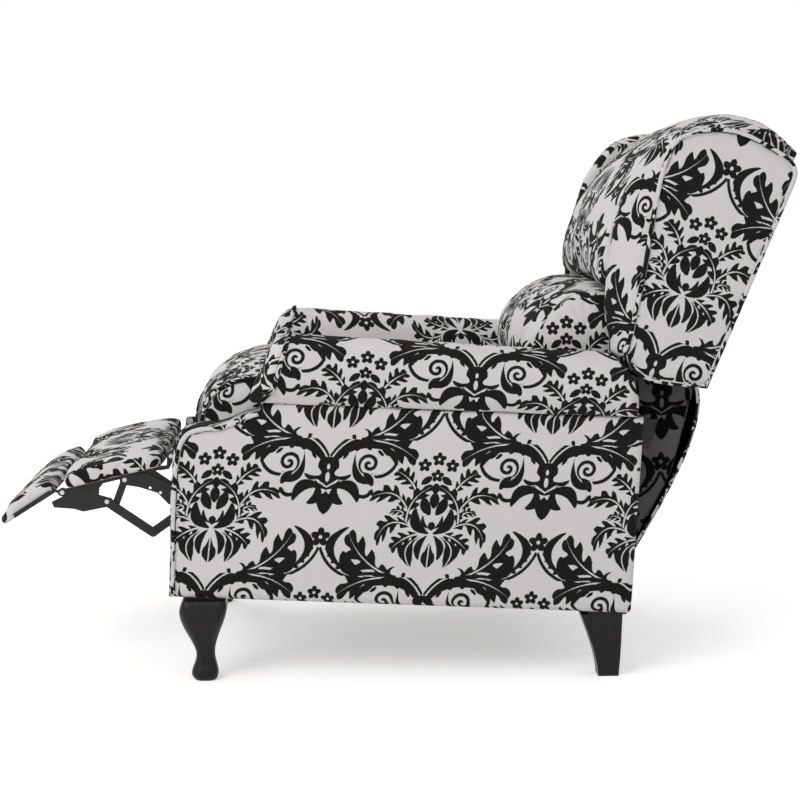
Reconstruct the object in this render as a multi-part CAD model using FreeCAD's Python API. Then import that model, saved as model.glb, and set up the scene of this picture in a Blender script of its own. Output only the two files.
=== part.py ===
import FreeCAD, Part
import math
import os

# Wingback push-back recliner, shown with its back leaned back and its footrest out.
# Millimetres. +Z is up, the sitter looks along -Y, and +X is the sitter's left hand.
# Heights and depths are written from the front bottom corner of the side panels,
# and every piece is moved by CENTRE_Y as it is written, so the origin is the floor
# point under the middle of the chair.

os.makedirs("parts", exist_ok=True)

V = FreeCAD.Vector
X_AXIS = V(1, 0, 0)

CENTRE_Y = 412.0

# Widths, each measured from the middle of the chair
PANEL_OUT = 335.0          # outer face of the side panel
PANEL_W = 67.0             # thickness of the padded side panel
PANEL_IN = PANEL_OUT - PANEL_W
ARM_BULGE = 15.0
ARM_OUT = PANEL_OUT + ARM_BULGE
WING_OUT = PANEL_OUT - 5.0
WING_IN = PANEL_IN - 6.0
FRAME_HALF = WING_IN - 16.0    # outer face of the back's frame
HINGE_T = 4.0
SEAT_HALF = FRAME_HALF - 1.0   # seat cushion
PAD_HALF = PANEL_IN - 16.0     # main footrest pad
PLATE_T = 3.0
MOUNT_T = 25.0                 # wooden rail between side panel and side plate
PLATE_X = PANEL_IN - MOUNT_T - PLATE_T
LINK_GAP = 0.4                 # side gap between neighbouring steel links
FRAME_T = 18.0                 # plywood frames
FABRIC_T = 6.0                 # wadding and fabric over a frame

# Pivots of the footrest linkage, as (y, z)
PAD_PIVOT = (10.0, 388.0)
BRACKET_LOW = (-105.0, 306.0)
ELBOW = (-24.0, 250.0)
BRACKET_TOP = (-73.0, 345.0)
FLIP_PIVOT = (-184.0, 322.5)
GUIDE_REACH = (150.0, -57.0)   # from the bracket's upper rivet to the guide pin
RIVET_R = 4.0
PIN_CLEAR = 0.05
SLOT_CLEAR = 0.3
TUBE_R = 9.0

# Back hinge and its swing, and the seat's travel
BACK_PIVOT = (630.0, 350.0)
BACK_TILT = 22.3           # outside back, degrees from upright, as leaned back
BACK_CORNER = (946.0, 515.0)
FOLD_DEG = 78.0
SEAT_TRAVEL = 35.0

PANEL_FRONT = 9.0          # depth of the side panels at their bottom corners
PANEL_BACK = 820.0
FRONT_BOTTOM = 153.0
REAR_BOTTOM = 116.0
LEG_X = 306.0
FRONT_LEG_Y = 71.0
REAR_LEG_Y = 778.0


def bottom_at(y):
    """Height of the side panels' bottom edge, which falls towards the back."""
    slope = (REAR_BOTTOM - FRONT_BOTTOM) / (PANEL_BACK - PANEL_FRONT)
    return FRONT_BOTTOM + slope * (y - PANEL_FRONT)


def save(name, *solids):
    shape = solids[0] if len(solids) == 1 else Part.makeCompound(list(solids))
    shape = shape.copy()
    shape.translate(V(0, -CENTRE_Y, 0))
    shape.exportStep("parts/" + name + ".step")


def mirrored(shape):
    return shape.mirror(V(0, 0, 0), X_AXIS)


def save_pair(name, shape):
    save(name + "_left", shape)
    save(name + "_right", mirrored(shape))


def wire(points, place):
    """Closed wire. A point is a straight run to it, a pair of points is an arc."""
    edges = []
    here = points[0]
    for step in points[1:] + [points[0]]:
        if isinstance(step[0], tuple):
            middle, end = step
            edges.append(Part.Arc(place(here), place(middle), place(end)).toShape())
            here = end
        elif step != here:
            edges.append(Part.LineSegment(place(here), place(step)).toShape())
            here = step
    return Part.Wire(edges)


def side_wire(points, x):
    return wire(points, lambda p: V(x, p[0], p[1]))


def slab(points, x_from, x_to):
    """A side outline given in (y, z), as a board from x_from to x_to."""
    return Part.Face(side_wire(points, x_from)).extrude(V(x_to - x_from, 0, 0))


def block(x0, x1, y0, y1, z0, z1):
    return Part.makeBox(x1 - x0, y1 - y0, z1 - z0, V(x0, y0, z0))


def rod(x0, x1, centre, radius):
    return Part.makeCylinder(radius, x1 - x0, V(x0, centre[0], centre[1]), X_AXIS)


def moved(point, dy, dz):
    return (point[0] + dy, point[1] + dz)


def toward(a, b, share):
    return (a[0] + (b[0] - a[0]) * share, a[1] + (b[1] - a[1]) * share)


def strap(a, b, half_width, x0, x1):
    """A steel strap with round ends between two pivots."""
    length = math.hypot(b[0] - a[0], b[1] - a[1])
    along = ((b[0] - a[0]) / length, (b[1] - a[1]) / length)
    side = (-along[1] * half_width, along[0] * half_width)
    start = moved(a, side[0], side[1])
    end = moved(b, side[0], side[1])
    end_tip = moved(b, along[0] * half_width, along[1] * half_width)
    end_low = moved(b, -side[0], -side[1])
    start_low = moved(a, -side[0], -side[1])
    start_tip = moved(a, -along[0] * half_width, -along[1] * half_width)
    outline = [start, end, (end_tip, end_low), start_low, (start_tip, start)]
    return slab(outline, x0, x1)


def bored(shape, centres, radius, x0=-400.0, x1=400.0):
    for centre in centres:
        shape = shape.cut(rod(x0, x1, centre, radius))
    return shape


def loft(wires):
    return Part.makeLoft(wires, True, False)


def puffed(points, centre, layers):
    """A padded board: the outline drawn in towards centre by each layer's share."""
    sections = []
    for x, share in layers:
        def shrink(p, s=share):
            return (centre[0] + (p[0] - centre[0]) * s, centre[1] + (p[1] - centre[1]) * s)
        drawn = []
        for step in points:
            if isinstance(step[0], tuple):
                drawn.append((shrink(step[0]), shrink(step[1])))
            else:
                drawn.append(shrink(step))
        sections.append(side_wire(drawn, x))
    return loft(sections)


# Side frames and their upholstery: a plywood board inside a padded fabric panel
TOP_REAR = (838.0, 464.0)
TOP_FRONT = (200.0, 494.0)
SHOULDER = ((172.0, 480.0), (145.0, 473.0))
PANEL_OUTLINE = [
    (PANEL_FRONT, FRONT_BOTTOM), (PANEL_BACK, REAR_BOTTOM), TOP_REAR, TOP_FRONT,
    SHOULDER, ((110.0, 456.0), (61.0, 452.0)),
    ((36.0, 444.0), (22.0, 400.0)), ((12.0, 276.0), (PANEL_FRONT, FRONT_BOTTOM)),
]
BOARD_FRONT = PANEL_FRONT + 4 * FABRIC_T
BOARD_OUTLINE = [
    (BOARD_FRONT, bottom_at(BOARD_FRONT)),
    (PANEL_BACK - FABRIC_T, bottom_at(PANEL_BACK - FABRIC_T)),
    moved(TOP_REAR, -2 * FABRIC_T, -2 * FABRIC_T), moved(TOP_FRONT, 0.0, -2 * FABRIC_T),
    (64.0, 440.0), (BOARD_FRONT, 392.0),
]
BOARD_IN = PANEL_IN + FABRIC_T
BOARD_OUT = BOARD_IN + FRAME_T
frame_board = slab(BOARD_OUTLINE, BOARD_IN, BOARD_OUT)
panel = slab(PANEL_OUTLINE, PANEL_IN, PANEL_OUT)
outer_edges = [e for e in panel.Edges
               if abs(e.BoundBox.XMin - PANEL_OUT) < 0.01 and abs(e.BoundBox.XMax - PANEL_OUT) < 0.01
               and (e.BoundBox.YMax < 60.0 or e.BoundBox.YMin > PANEL_BACK - 5.0)]
panel = panel.makeFillet(9.0, outer_edges)
save_pair("side_frame", frame_board)


# Arm rolls: a padded roll along the side panel, its front end cut on the welt's curve
ARM_REAR = 826.0


def roll_section(y, top, low, grow=0.0):
    place = lambda p: V(p[0], y, p[1])
    height = top - low
    inner = (PANEL_IN - grow, low)
    outer = (PANEL_OUT + 3.0 + grow, low)
    points = [
        inner,
        ((PANEL_IN - 11.0 - grow, low + 0.5 * height), (283.0 - 0.5 * grow, top - 6.0 + 0.7 * grow)),
        ((308.0, top + grow), (328.0 + 0.5 * grow, top - 6.0 + 0.7 * grow)),
        ((ARM_OUT + grow, low + 0.55 * height), outer),
    ]
    return wire(points, place)


def arm_roll(y_from, y_to, grow=0.0):
    """The roll's top falls by 35 mm to the back, and its seam follows the panel's top."""
    def top(y):
        return 611.0 - 0.058 * (y - 200.0)

    def low(y):
        return toward(TOP_FRONT, TOP_REAR, (y - TOP_FRONT[0]) / (TOP_REAR[0] - TOP_FRONT[0]))[1] - grow
    return loft([roll_section(y, top(y), low(y), grow) for y in (y_from, y_to)])


FACING_BACK = [(222.0, 624.0), ((204.0, 540.0), (165.0, 480.0))]
FACING_FRONT = [(203.0, 624.0), ((176.0, 545.0), (142.0, 474.0))]
WELT_R = 4.0
FAR_BACK = 900.0


def behind(curve, shift=0.0, reach=FAR_BACK):
    """Everything behind a facing curve, as a wide board along X."""
    top = moved(curve[0], shift, 0)
    middle = moved(curve[1][0], shift, 0)
    end = moved(curve[1][1], shift, 0)
    low = moved(end, -6.0, -40.0)
    outline = [top, (middle, end), low, (reach, low[1]), (reach, top[1])]
    return slab(outline, 200.0, 400.0)


rear_nose = slab([(766.0, 640.0), (766.0, 579.0), ((801.0, 556.0), (822.0, 500.0)),
                  (ARM_REAR, 440.0), (880.0, 440.0), (880.0, 640.0)], 200.0, 400.0)
under_seam = -60.0
panel_space = slab([moved(SHOULDER[1], -50.0, under_seam), moved(TOP_REAR, 40.0, under_seam),
                    moved(TOP_REAR, 40.0, 0.0), TOP_REAR, TOP_FRONT, SHOULDER,
                    moved(SHOULDER[1], -50.0, -3.0)], 200.0, 400.0)
roll = arm_roll(120.0, ARM_REAR)
RAIL_W = 30.0
rail_low = TOP_FRONT[1] + FABRIC_T
arm_rail = block(294.0, 294.0 + RAIL_W, 232.0, 780.0, rail_low, rail_low + RAIL_W)
arm_pad = roll.common(behind(FACING_BACK, WELT_R)).cut(rear_nose).cut(panel_space).cut(arm_rail)
facing = roll.common(behind(FACING_FRONT)).cut(behind(FACING_BACK, -WELT_R)).cut(panel_space)
welt_ring = arm_roll(120.0, 300.0, WELT_R).cut(arm_roll(110.0, 310.0, -WELT_R))
welt = welt_ring.common(behind(FACING_BACK, -WELT_R)).cut(behind(FACING_BACK, WELT_R))
welt = welt.cut(slab([moved(SHOULDER[1], -85.0, under_seam), moved(TOP_FRONT, 100.0, under_seam),
                      moved(TOP_FRONT, 100.0, 0.0), TOP_FRONT, SHOULDER,
                      moved(SHOULDER[1], -85.0, -3.0)], 200.0, 400.0))
save_pair("arm_pad", arm_pad)
save("arm_rails", arm_rail, mirrored(arm_rail))
save_pair("arm_facing", facing)
save("arm_welts", welt, mirrored(welt))


# Legs. Front: turned out of a square block into a bowed knee, a slim ankle and a
# pad foot. Rear: a square post whose front face sweeps back to the floor.
LEG_TOP_PLATE = 4.0


def square_section(cx, cy, z, half, corner):
    place = lambda p: V(cx + p[0], cy + p[1], z)
    h = half
    k = corner
    m = h - 0.3 * k
    points = [
        (-h + k, -h), (h - k, -h), ((m, -m), (h, -h + k)), (h, h - k),
        ((m, m), (h - k, h)), (-h + k, h), ((-m, m), (-h, h - k)), (-h, -h + k),
        ((-m, -m), (-h + k, -h)),
    ]
    return wire(points, place)


def cabriole_leg():
    top = bottom_at(FRONT_LEG_Y) - LEG_TOP_PLATE
    # height share, half width, corner radius, bow towards the front and the side
    levels = [(1.0, 37.0, 8.0, 0.0), (0.86, 41.0, 18.0, 3.0), (0.66, 33.0, 20.0, 4.0),
              (0.44, 20.0, 13.0, 1.5), (0.28, 16.5, 11.0, 0.0), (0.13, 22.5, 17.0, 1.0),
              (0.0, 17.5, 12.0, 0.0)]
    wires = []
    for share, half, corner, bow in levels:
        wires.append(square_section(LEG_X - 4.0 + bow, FRONT_LEG_Y - bow, top * share, half, corner))
    return loft(wires)


def rear_leg():
    top = bottom_at(REAR_LEG_Y) - LEG_TOP_PLATE
    sections = []
    for share, front, back, half in [(1.0, -46.0, 27.0, 29.0), (0.55, -27.0, 26.0, 25.0),
                                     (0.2, -16.0, 24.5, 21.0), (0.0, -13.0, 23.0, 19.0)]:
        z = top * share
        y0 = REAR_LEG_Y + front
        y1 = REAR_LEG_Y + back
        x0 = LEG_X - 8.0 - half
        x1 = LEG_X - 8.0 + half
        sections.append(Part.makePolygon([V(x0, y0, z), V(x1, y0, z), V(x1, y1, z),
                                          V(x0, y1, z), V(x0, y0, z)]))
    return Part.makeLoft(sections, True, False)


front_leg = cabriole_leg()
back_leg = rear_leg()
save_pair("front_leg", front_leg)
save_pair("rear_leg", back_leg)


# Corner blocks that the legs bolt to, and the rails that tie the two sides together
BLOCK_H = 40.0
BLOCK_HALF = 34.0
RAIL_T = 22.0
RAIL_H = 28.0
FRONT_RAIL_Y = 88.0
REAR_RAIL_Y = 752.0


def corner_block(y):
    base = bottom_at(y) - LEG_TOP_PLATE
    return block(BOARD_OUT, BOARD_OUT + 34.0, y - BLOCK_HALF, y + BLOCK_HALF, base, base + BLOCK_H)


blocks = [corner_block(FRONT_LEG_Y), corner_block(REAR_LEG_Y)]
side_panel = panel.cut(frame_board)
for one_block in blocks:
    side_panel = side_panel.cut(one_block)
save_pair("side_panel", side_panel)
save("corner_blocks", *(blocks + [mirrored(b) for b in blocks]))


def cross_rail(y, height):
    base = bottom_at(y + RAIL_T)
    return block(-PANEL_IN, PANEL_IN, y, y + RAIL_T, base, base + height)


save("front_rail", cross_rail(FRONT_RAIL_Y, RAIL_H))
save("rear_rail", cross_rail(REAR_RAIL_Y, 2.0 * RAIL_H))

# Steel layers of the footrest linkage, counted inwards from the side plate
PLATE_OUT = PLATE_X + PLATE_T
LINK_OUT = PLATE_X - LINK_GAP
LINK_IN = LINK_OUT - PLATE_T
ARM_X1 = LINK_IN - LINK_GAP
ARM_X0 = ARM_X1 - PLATE_T
FLIP_HALF = ARM_X0 - 7.2       # flip-out pad, which folds between the brackets
HEAD_T = 2.0
HEAD_R = 7.0
HOLE_R = RIVET_R + PIN_CLEAR
AXLE_R = 6.0

# The linkage is two parallelograms, so every link turns in a steady ratio: the lower
# one is pad pivot, bracket rivet, elbow and crank pivot; the upper one is pad pivot,
# upper rivet, guide pin and the middle of the guide slot's arc.
CRANK_PIVOT = (PAD_PIVOT[0] + ELBOW[0] - BRACKET_LOW[0], PAD_PIVOT[1] + ELBOW[1] - BRACKET_LOW[1])
GUIDE_PIN = moved(BRACKET_TOP, GUIDE_REACH[0], GUIDE_REACH[1])
SLOT_MIDDLE = moved(PAD_PIVOT, GUIDE_REACH[0], GUIDE_REACH[1])
SLOT_R = math.hypot(BRACKET_TOP[0] - PAD_PIVOT[0], BRACKET_TOP[1] - PAD_PIVOT[1])


def guide_slot():
    half = RIVET_R + SLOT_CLEAR

    def at(radius, degrees):
        a = math.atan2(GUIDE_PIN[1] - SLOT_MIDDLE[1], GUIDE_PIN[0] - SLOT_MIDDLE[0])
        a += math.radians(degrees)
        return (SLOT_MIDDLE[0] + radius * math.cos(a), SLOT_MIDDLE[1] + radius * math.sin(a))
    over = math.degrees(half / SLOT_R)
    outer = SLOT_R + half
    inner = SLOT_R - half
    outline = [at(outer, 0.0), (at(outer, FOLD_DEG / 2), at(outer, FOLD_DEG)),
               (at(SLOT_R, FOLD_DEG + over), at(inner, FOLD_DEG)),
               (at(inner, FOLD_DEG / 2), at(inner, 0.0)), (at(SLOT_R, -over), at(outer, 0.0))]
    return slab(outline, PLATE_X - 5.0, PLATE_OUT + 5.0)


EAR_R = 7.0
plate_outline = [
    (40.0, PAD_PIVOT[1] - EAR_R), (PAD_PIVOT[0], PAD_PIVOT[1] - EAR_R),
    ((PAD_PIVOT[0] - EAR_R, PAD_PIVOT[1]), (PAD_PIVOT[0], PAD_PIVOT[1] + EAR_R)),
    (100.0, 398.0), (690.0, 374.0), ((702.0, 350.0), (690.0, 330.0)), (610.0, 318.0),
    (320.0, 296.0), ((270.0, 262.0), (220.0, 224.0)), (145.0, 220.0),
    ((92.0, 232.0), (48.0, 268.0)), (40.0, 300.0),
]
REAR_TUBE_AT = (560.0, 330.0)
side_plate = slab(plate_outline, PLATE_X, PLATE_OUT).cut(guide_slot())
side_plate = bored(side_plate, [PAD_PIVOT, BACK_PIVOT], RIVET_R)
side_plate = bored(side_plate, [CRANK_PIVOT], AXLE_R - PIN_CLEAR)
save_pair("side_plate", side_plate)

MOUNT_FROM = 120.0
MOUNT_TO = 600.0
DECK_REAR = 377.0              # height of the seat frame's top at its rear and front
DECK_FRONT = DECK_REAR + 21.0
TRACK_LOW = DECK_REAR - 29.0
TRACK_H = 16.0
mount_rail = block(PLATE_OUT, PANEL_IN, MOUNT_FROM, MOUNT_TO, TRACK_LOW - 18.0, TRACK_LOW + 18.0)
save("mount_rails", mount_rail, mirrored(mount_rail))

# The seat slides on a flat track screwed to each side plate
TRACK_T = 3.4
RUN_GAP = 0.3
RUNNER_T = 8.3
TRACK_FRONT = 112.0
TRACK_REAR = 655.0
TRACK_STOP = 30.0
track = block(PLATE_X - TRACK_T, PLATE_X, TRACK_FRONT, TRACK_REAR, TRACK_LOW, TRACK_LOW + TRACK_H)
save("slide_tracks", track, mirrored(track))
save("rear_tube", rod(-PLATE_X, PLATE_X, REAR_TUBE_AT, TUBE_R).cut(
    rod(-PLATE_X, PLATE_X, REAR_TUBE_AT, AXLE_R)))


def rivet(centre, x_in, x_out, radius=RIVET_R):
    """A rivet with its head on the inner side."""
    return rod(x_in, x_out, centre, radius).fuse(rod(x_in - HEAD_T, x_in, centre, HEAD_R))


fixed_pins = [rivet(PAD_PIVOT, ARM_X0 - 0.2, PLATE_OUT),
              rod(ARM_X0 - 15.0, PLATE_OUT, CRANK_PIVOT, AXLE_R - PIN_CLEAR),
              rod(PLATE_X, FRAME_HALF + HINGE_T, BACK_PIVOT, RIVET_R)]
save("frame_pins", *(fixed_pins + [mirrored(p) for p in fixed_pins]))


# Footrest: a plywood board with a padded top, carried by two steel brackets
PAD_BACK_LOW = (-4.0, 371.0)
PAD_FRONT_LOW = (-175.0, 331.0)
BOARD_T = 12.0


def along_pad(share, rise):
    """A point on the pad's underside, share of the way forward, raised square to it."""
    run = (PAD_FRONT_LOW[0] - PAD_BACK_LOW[0], PAD_FRONT_LOW[1] - PAD_BACK_LOW[1])
    length = math.hypot(run[0], run[1])
    base = toward(PAD_BACK_LOW, PAD_FRONT_LOW, share)
    return moved(base, run[1] / length * rise, -run[0] / length * rise)


board_outline = [along_pad(0.03, 0.0), along_pad(0.97, 0.0),
                 along_pad(0.97, BOARD_T), along_pad(0.03, BOARD_T)]
footrest_board = slab(board_outline, -PAD_HALF + 8.0, PAD_HALF - 8.0)
pad_outline = [PAD_BACK_LOW, PAD_FRONT_LOW,
               (along_pad(1.05, 12.0), along_pad(0.99, 24.0)),
               (along_pad(0.5, 31.0), along_pad(0.04, 23.0)),
               (along_pad(-0.03, 12.0), PAD_BACK_LOW)]
pad_middle = toward(PAD_BACK_LOW, PAD_FRONT_LOW, 0.5)
pad_layers = [(-PAD_HALF, 0.88), (-0.6 * PAD_HALF, 0.98), (0.0, 1.0), (0.6 * PAD_HALF, 0.98),
              (PAD_HALF, 0.88)]
footrest_pad = puffed(pad_outline, pad_middle, pad_layers).cut(footrest_board)
save("footrest_board", footrest_board)
save("footrest_pad", footrest_pad)

strip_low = -7.0
bracket = slab([along_pad(0.0, -0.5), along_pad(0.97, 0.0), along_pad(0.97, strip_low),
                along_pad(0.02, strip_low)], ARM_X0, ARM_X1)
tab = slab([moved(PAD_PIVOT, 8.0, 0.0), ((PAD_PIVOT[0], PAD_PIVOT[1] + 8.0),
            moved(PAD_PIVOT, -8.0, 0.0)), (1.8, 371.0), (-14.0, 366.0), (-12.0, 361.0),
            (6.0, 364.0)], ARM_X0, ARM_X1)
strut_foot = toward(BRACKET_LOW, ELBOW, 0.17)
front_plate = slab([along_pad(0.60, -2.0), (-118.0, 330.0), (-119.0, 318.0), (-98.0, 312.0),
                    ((-94.0, 303.0), (-101.0, 297.0)), (-147.0, 288.0), (-163.0, 293.0),
                    (-199.0, 296.0), (-203.0, 306.0), (-178.0, 318.0), along_pad(0.97, -2.0)],
                   ARM_X0, ARM_X1)
flange = slab([along_pad(0.05, 0.0), along_pad(0.85, 0.0), along_pad(0.85, -3.0),
               along_pad(0.05, -3.0)], FLIP_HALF + 3.0, ARM_X1)
flip_ear = slab([along_pad(0.86, -1.0), along_pad(0.99, -0.5), moved(FLIP_PIVOT, -5.3, 5.3),
                 (moved(FLIP_PIVOT, -7.5, 0.0), moved(FLIP_PIVOT, -5.3, -5.3)), (-172.0, 312.0)],
                ARM_X0, ARM_X1)
bracket = bracket.fuse(tab).fuse(front_plate).fuse(flange).fuse(flip_ear)
bracket = bracket.fuse(strap(BRACKET_TOP, strut_foot, 6.5, ARM_X0, ARM_X1))
bracket = bored(bracket, [PAD_PIVOT], HOLE_R, ARM_X0 - 1.0, ARM_X1 + 1.0)
bracket = bored(bracket, [BRACKET_LOW, BRACKET_TOP, FLIP_PIVOT], RIVET_R, ARM_X0 - 1.0, ARM_X1 + 1.0)
bracket = bracket.cut(rod(FLIP_HALF, ARM_X0, BRACKET_TOP, HEAD_R + LINK_GAP))
save_pair("footrest_bracket", bracket)
bracket_rivets = [rivet(BRACKET_LOW, ARM_X0, LINK_OUT - 0.1), rivet(BRACKET_TOP, ARM_X0, LINK_OUT - 0.1),
                  rod(FLIP_HALF + 2.0, ARM_X1, FLIP_PIVOT, RIVET_R)]
save("bracket_rivets", *(bracket_rivets + [mirrored(r) for r in bracket_rivets]))


# Links: the front link joins bracket and crank, the guide link runs in the slot
LINK_HALF = 8.0
front_link = bored(strap(BRACKET_LOW, ELBOW, LINK_HALF, LINK_IN, LINK_OUT), [BRACKET_LOW], HOLE_R)
front_link = front_link.fuse(rivet(ELBOW, ARM_X0 - 0.2, LINK_IN))
save_pair("front_link", front_link)

guide_outline = [
    moved(BRACKET_TOP, 0.0, 8.5), (-38.0, 358.0), (5.0, 334.0), moved(GUIDE_PIN, 3.0, 8.5),
    (moved(GUIDE_PIN, 9.0, 0.0), moved(GUIDE_PIN, -1.0, -9.0)), (4.0, 301.0), (-15.0, 321.5),
    (-48.0, 332.0), moved(BRACKET_TOP, -2.0, -8.5),
    (moved(BRACKET_TOP, -8.5, 0.0), moved(BRACKET_TOP, 0.0, 8.5)),
]
guide_link = slab(guide_outline, LINK_IN, LINK_OUT)
guide_link = bored(guide_link, [(-28.0, 330.5), (-10.0, 321.7)], 2.4)
guide_link = bored(guide_link, [BRACKET_TOP], HOLE_R)
guide_link = bored(guide_link, [GUIDE_PIN], RIVET_R)
pin_head = PLATE_OUT + 0.5
guide_pin = rod(LINK_IN, pin_head, GUIDE_PIN, RIVET_R)
guide_pin = guide_pin.fuse(rod(pin_head, pin_head + HEAD_T, GUIDE_PIN, HEAD_R))
save_pair("guide_link", guide_link)
save_pair("guide_pin", guide_pin)

crank = bored(strap(CRANK_PIVOT, ELBOW, LINK_HALF, ARM_X0, ARM_X1), [ELBOW], HOLE_R)
crank = bored(crank, [CRANK_PIVOT], AXLE_R)
save("crank_arms", crank, mirrored(crank))
save("torque_tube", rod(-ARM_X0, ARM_X0, CRANK_PIVOT, TUBE_R).cut(
    rod(-ARM_X0, ARM_X0, CRANK_PIVOT, AXLE_R)))


# Flip-out pad: hinged at the front of the brackets, folds back under the main pad
FLIP_SLOPE = 33.0
FLIP_LENGTH = 126.0
FLIP_LIFT = 5.5             # the pivot hangs this far under the pad


def along_flip(s, rise):
    """A point s forward of the flip pivot along the pad's underside."""
    a = math.radians(FLIP_SLOPE)
    rise += FLIP_LIFT
    return moved(FLIP_PIVOT, -math.cos(a) * s - math.sin(a) * rise,
                 -math.sin(a) * s + math.cos(a) * rise)


flip_board = slab([along_flip(14.0, 2.0), along_flip(FLIP_LENGTH - 8.0, 2.0),
                   along_flip(FLIP_LENGTH - 8.0, 10.0), along_flip(14.0, 10.0)],
                  -FLIP_HALF + 2.0, FLIP_HALF - 2.0)
flip_outline = [along_flip(9.0, 2.0), along_flip(FLIP_LENGTH - 4.0, 2.0),
                (along_flip(FLIP_LENGTH, 10.0), along_flip(FLIP_LENGTH - 10.0, 19.0)),
                (along_flip(0.5 * FLIP_LENGTH, 28.0), along_flip(6.0, 25.0)),
                (along_flip(4.0, 12.0), along_flip(9.0, 2.0))]
flip_middle = along_flip(0.5 * FLIP_LENGTH, 2.0)
flip_layers = [(-FLIP_HALF, 0.9), (-0.6 * FLIP_HALF, 0.98), (0.0, 1.0), (0.6 * FLIP_HALF, 0.98),
               (FLIP_HALF, 0.9)]
save("flip_board", flip_board)
flip_arm = slab([moved(FLIP_PIVOT, 7.5, 0.0), (moved(FLIP_PIVOT, 0.0, 7.5), moved(FLIP_PIVOT, -6.5, 4.0)),
                 along_flip(20.0, 10.0), along_flip(FLIP_LENGTH - 30.0, 10.0),
                 along_flip(FLIP_LENGTH - 30.0, 2.0), along_flip(10.0, 1.0),
                 moved(FLIP_PIVOT, 1.0, -7.5)], FLIP_HALF - 2.0 , FLIP_HALF + 5.0)
flip_arm = bored(flip_arm.cut(flip_board), [FLIP_PIVOT], HOLE_R)
flip_pad = puffed(flip_outline, flip_middle, flip_layers).cut(flip_board)
save("flip_pad", flip_pad.cut(flip_arm).cut(mirrored(flip_arm)))
save("flip_arms", flip_arm, mirrored(flip_arm))

# Seat: a wooden frame on steel runners, wave springs across it, and the cushion
SEAT_FRAME_HALF = PLATE_X - TRACK_T - RUN_GAP - RUNNER_T
SEAT_RAIL_T = 22.0
SEAT_FRONT = 78.0
SEAT_REAR = 622.0
SEAT_RAIL_H = 34.0


def deck_at(y):
    return DECK_FRONT + (DECK_REAR - DECK_FRONT) * (y - SEAT_FRONT) / (SEAT_REAR - SEAT_FRONT)


def seat_board(y0, y1, x0, x1):
    outline = [(y0, deck_at(y0) - SEAT_RAIL_H), (y1, deck_at(y1) - SEAT_RAIL_H),
               (y1, deck_at(y1)), (y0, deck_at(y0))]
    return slab(outline, x0, x1)


side_from = SEAT_FRONT + SEAT_RAIL_T
side_to = SEAT_REAR - SEAT_RAIL_T
save("seat_front_rail", seat_board(SEAT_FRONT, side_from, -SEAT_FRAME_HALF, SEAT_FRAME_HALF))
save("seat_rear_rail", seat_board(side_to, SEAT_REAR, -SEAT_FRAME_HALF, SEAT_FRAME_HALF))
seat_side = seat_board(side_from, side_to, SEAT_FRAME_HALF - SEAT_RAIL_T, SEAT_FRAME_HALF)
save("seat_side_rails", seat_side, mirrored(seat_side))
runner = block(SEAT_FRAME_HALF, SEAT_FRAME_HALF + RUNNER_T, TRACK_FRONT + TRACK_STOP + 8.0,
               TRACK_REAR - TRACK_STOP - SEAT_TRAVEL, TRACK_LOW, TRACK_LOW + TRACK_H)
save("seat_runners", runner, mirrored(runner))

SPRING_WIRE = 3.6
SPRING_HALF = 24.0
SPRING_PITCH = 40.0
SPRING_X = [-156.0, -78.0, 0.0, 78.0, 156.0]


def wave_spring(x):
    """A flat wave of wire from the front rail to the rear rail."""
    path = [(x - SPRING_HALF, SEAT_FRONT + 6.0)]
    y = path[0][1]
    side = 1
    while y < SEAT_REAR - 14.0:
        path.append((x + side * SPRING_HALF, y))
        y += min(SPRING_PITCH, SEAT_REAR - 8.0 - y)
        path.append((x + side * SPRING_HALF, y))
        side = -side
    half = SPRING_WIRE / 2

    def edge(sign):
        points = []
        for i, p in enumerate(path):
            ins = path[i - 1] if i else (p[0] - 1.0, p[1])
            out = path[i + 1] if i + 1 < len(path) else (2 * p[0] - ins[0], 2 * p[1] - ins[1])
            d1 = (math.copysign(1, p[0] - ins[0]) if p[0] != ins[0] else 0,
                  math.copysign(1, p[1] - ins[1]) if p[1] != ins[1] else 0)
            d2 = (math.copysign(1, out[0] - p[0]) if out[0] != p[0] else 0,
                  math.copysign(1, out[1] - p[1]) if out[1] != p[1] else 0)
            nx, ny = (-d1[1], d1[0]) if d1 == d2 else (-d1[1] - d2[1], d1[0] + d2[0])
            points.append((p[0] + sign * half * nx, p[1] + sign * half * ny))
        return points
    ring = edge(1) + edge(-1)[::-1]
    vertices = [V(px, py, deck_at(py)) for px, py in ring]
    face = Part.Face(Part.makePolygon(vertices + [vertices[0]]))
    return face.extrude(V(0, 0, SPRING_WIRE))


save("seat_springs", *[wave_spring(x) for x in SPRING_X])

cushion_lift = SPRING_WIRE + 0.3


def on_deck(y, lift):
    return (y, deck_at(y) + lift)


SEAT_MIDDLE = on_deck(360.0, cushion_lift)
seat_outline = [
    on_deck(72.0, cushion_lift), (on_deck(48.0, 41.0), on_deck(56.0, 87.0)),
    (on_deck(84.0, 124.0), on_deck(150.0, 138.0)), (on_deck(400.0, 139.5), on_deck(636.0, 107.5)),
    (on_deck(664.0, 64.5), on_deck(646.0, cushion_lift)),
]
seat_layers = [(-SEAT_HALF, 0.92), (-0.72 * SEAT_HALF, 0.985), (0.0, 1.01),
               (0.72 * SEAT_HALF, 0.985), (SEAT_HALF, 0.92)]
save("seat_cushion", puffed(seat_outline, SEAT_MIDDLE, seat_layers))


# Back: plywood side frames with a tail, cross rails, webbing, wings and cushions
def back_at(u, v):
    """u up along the outside back from its lower corner, v forward square to it."""
    a = math.radians(BACK_TILT)
    return moved(BACK_CORNER, u * math.sin(a) - v * math.cos(a), u * math.cos(a) + v * math.sin(a))


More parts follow.
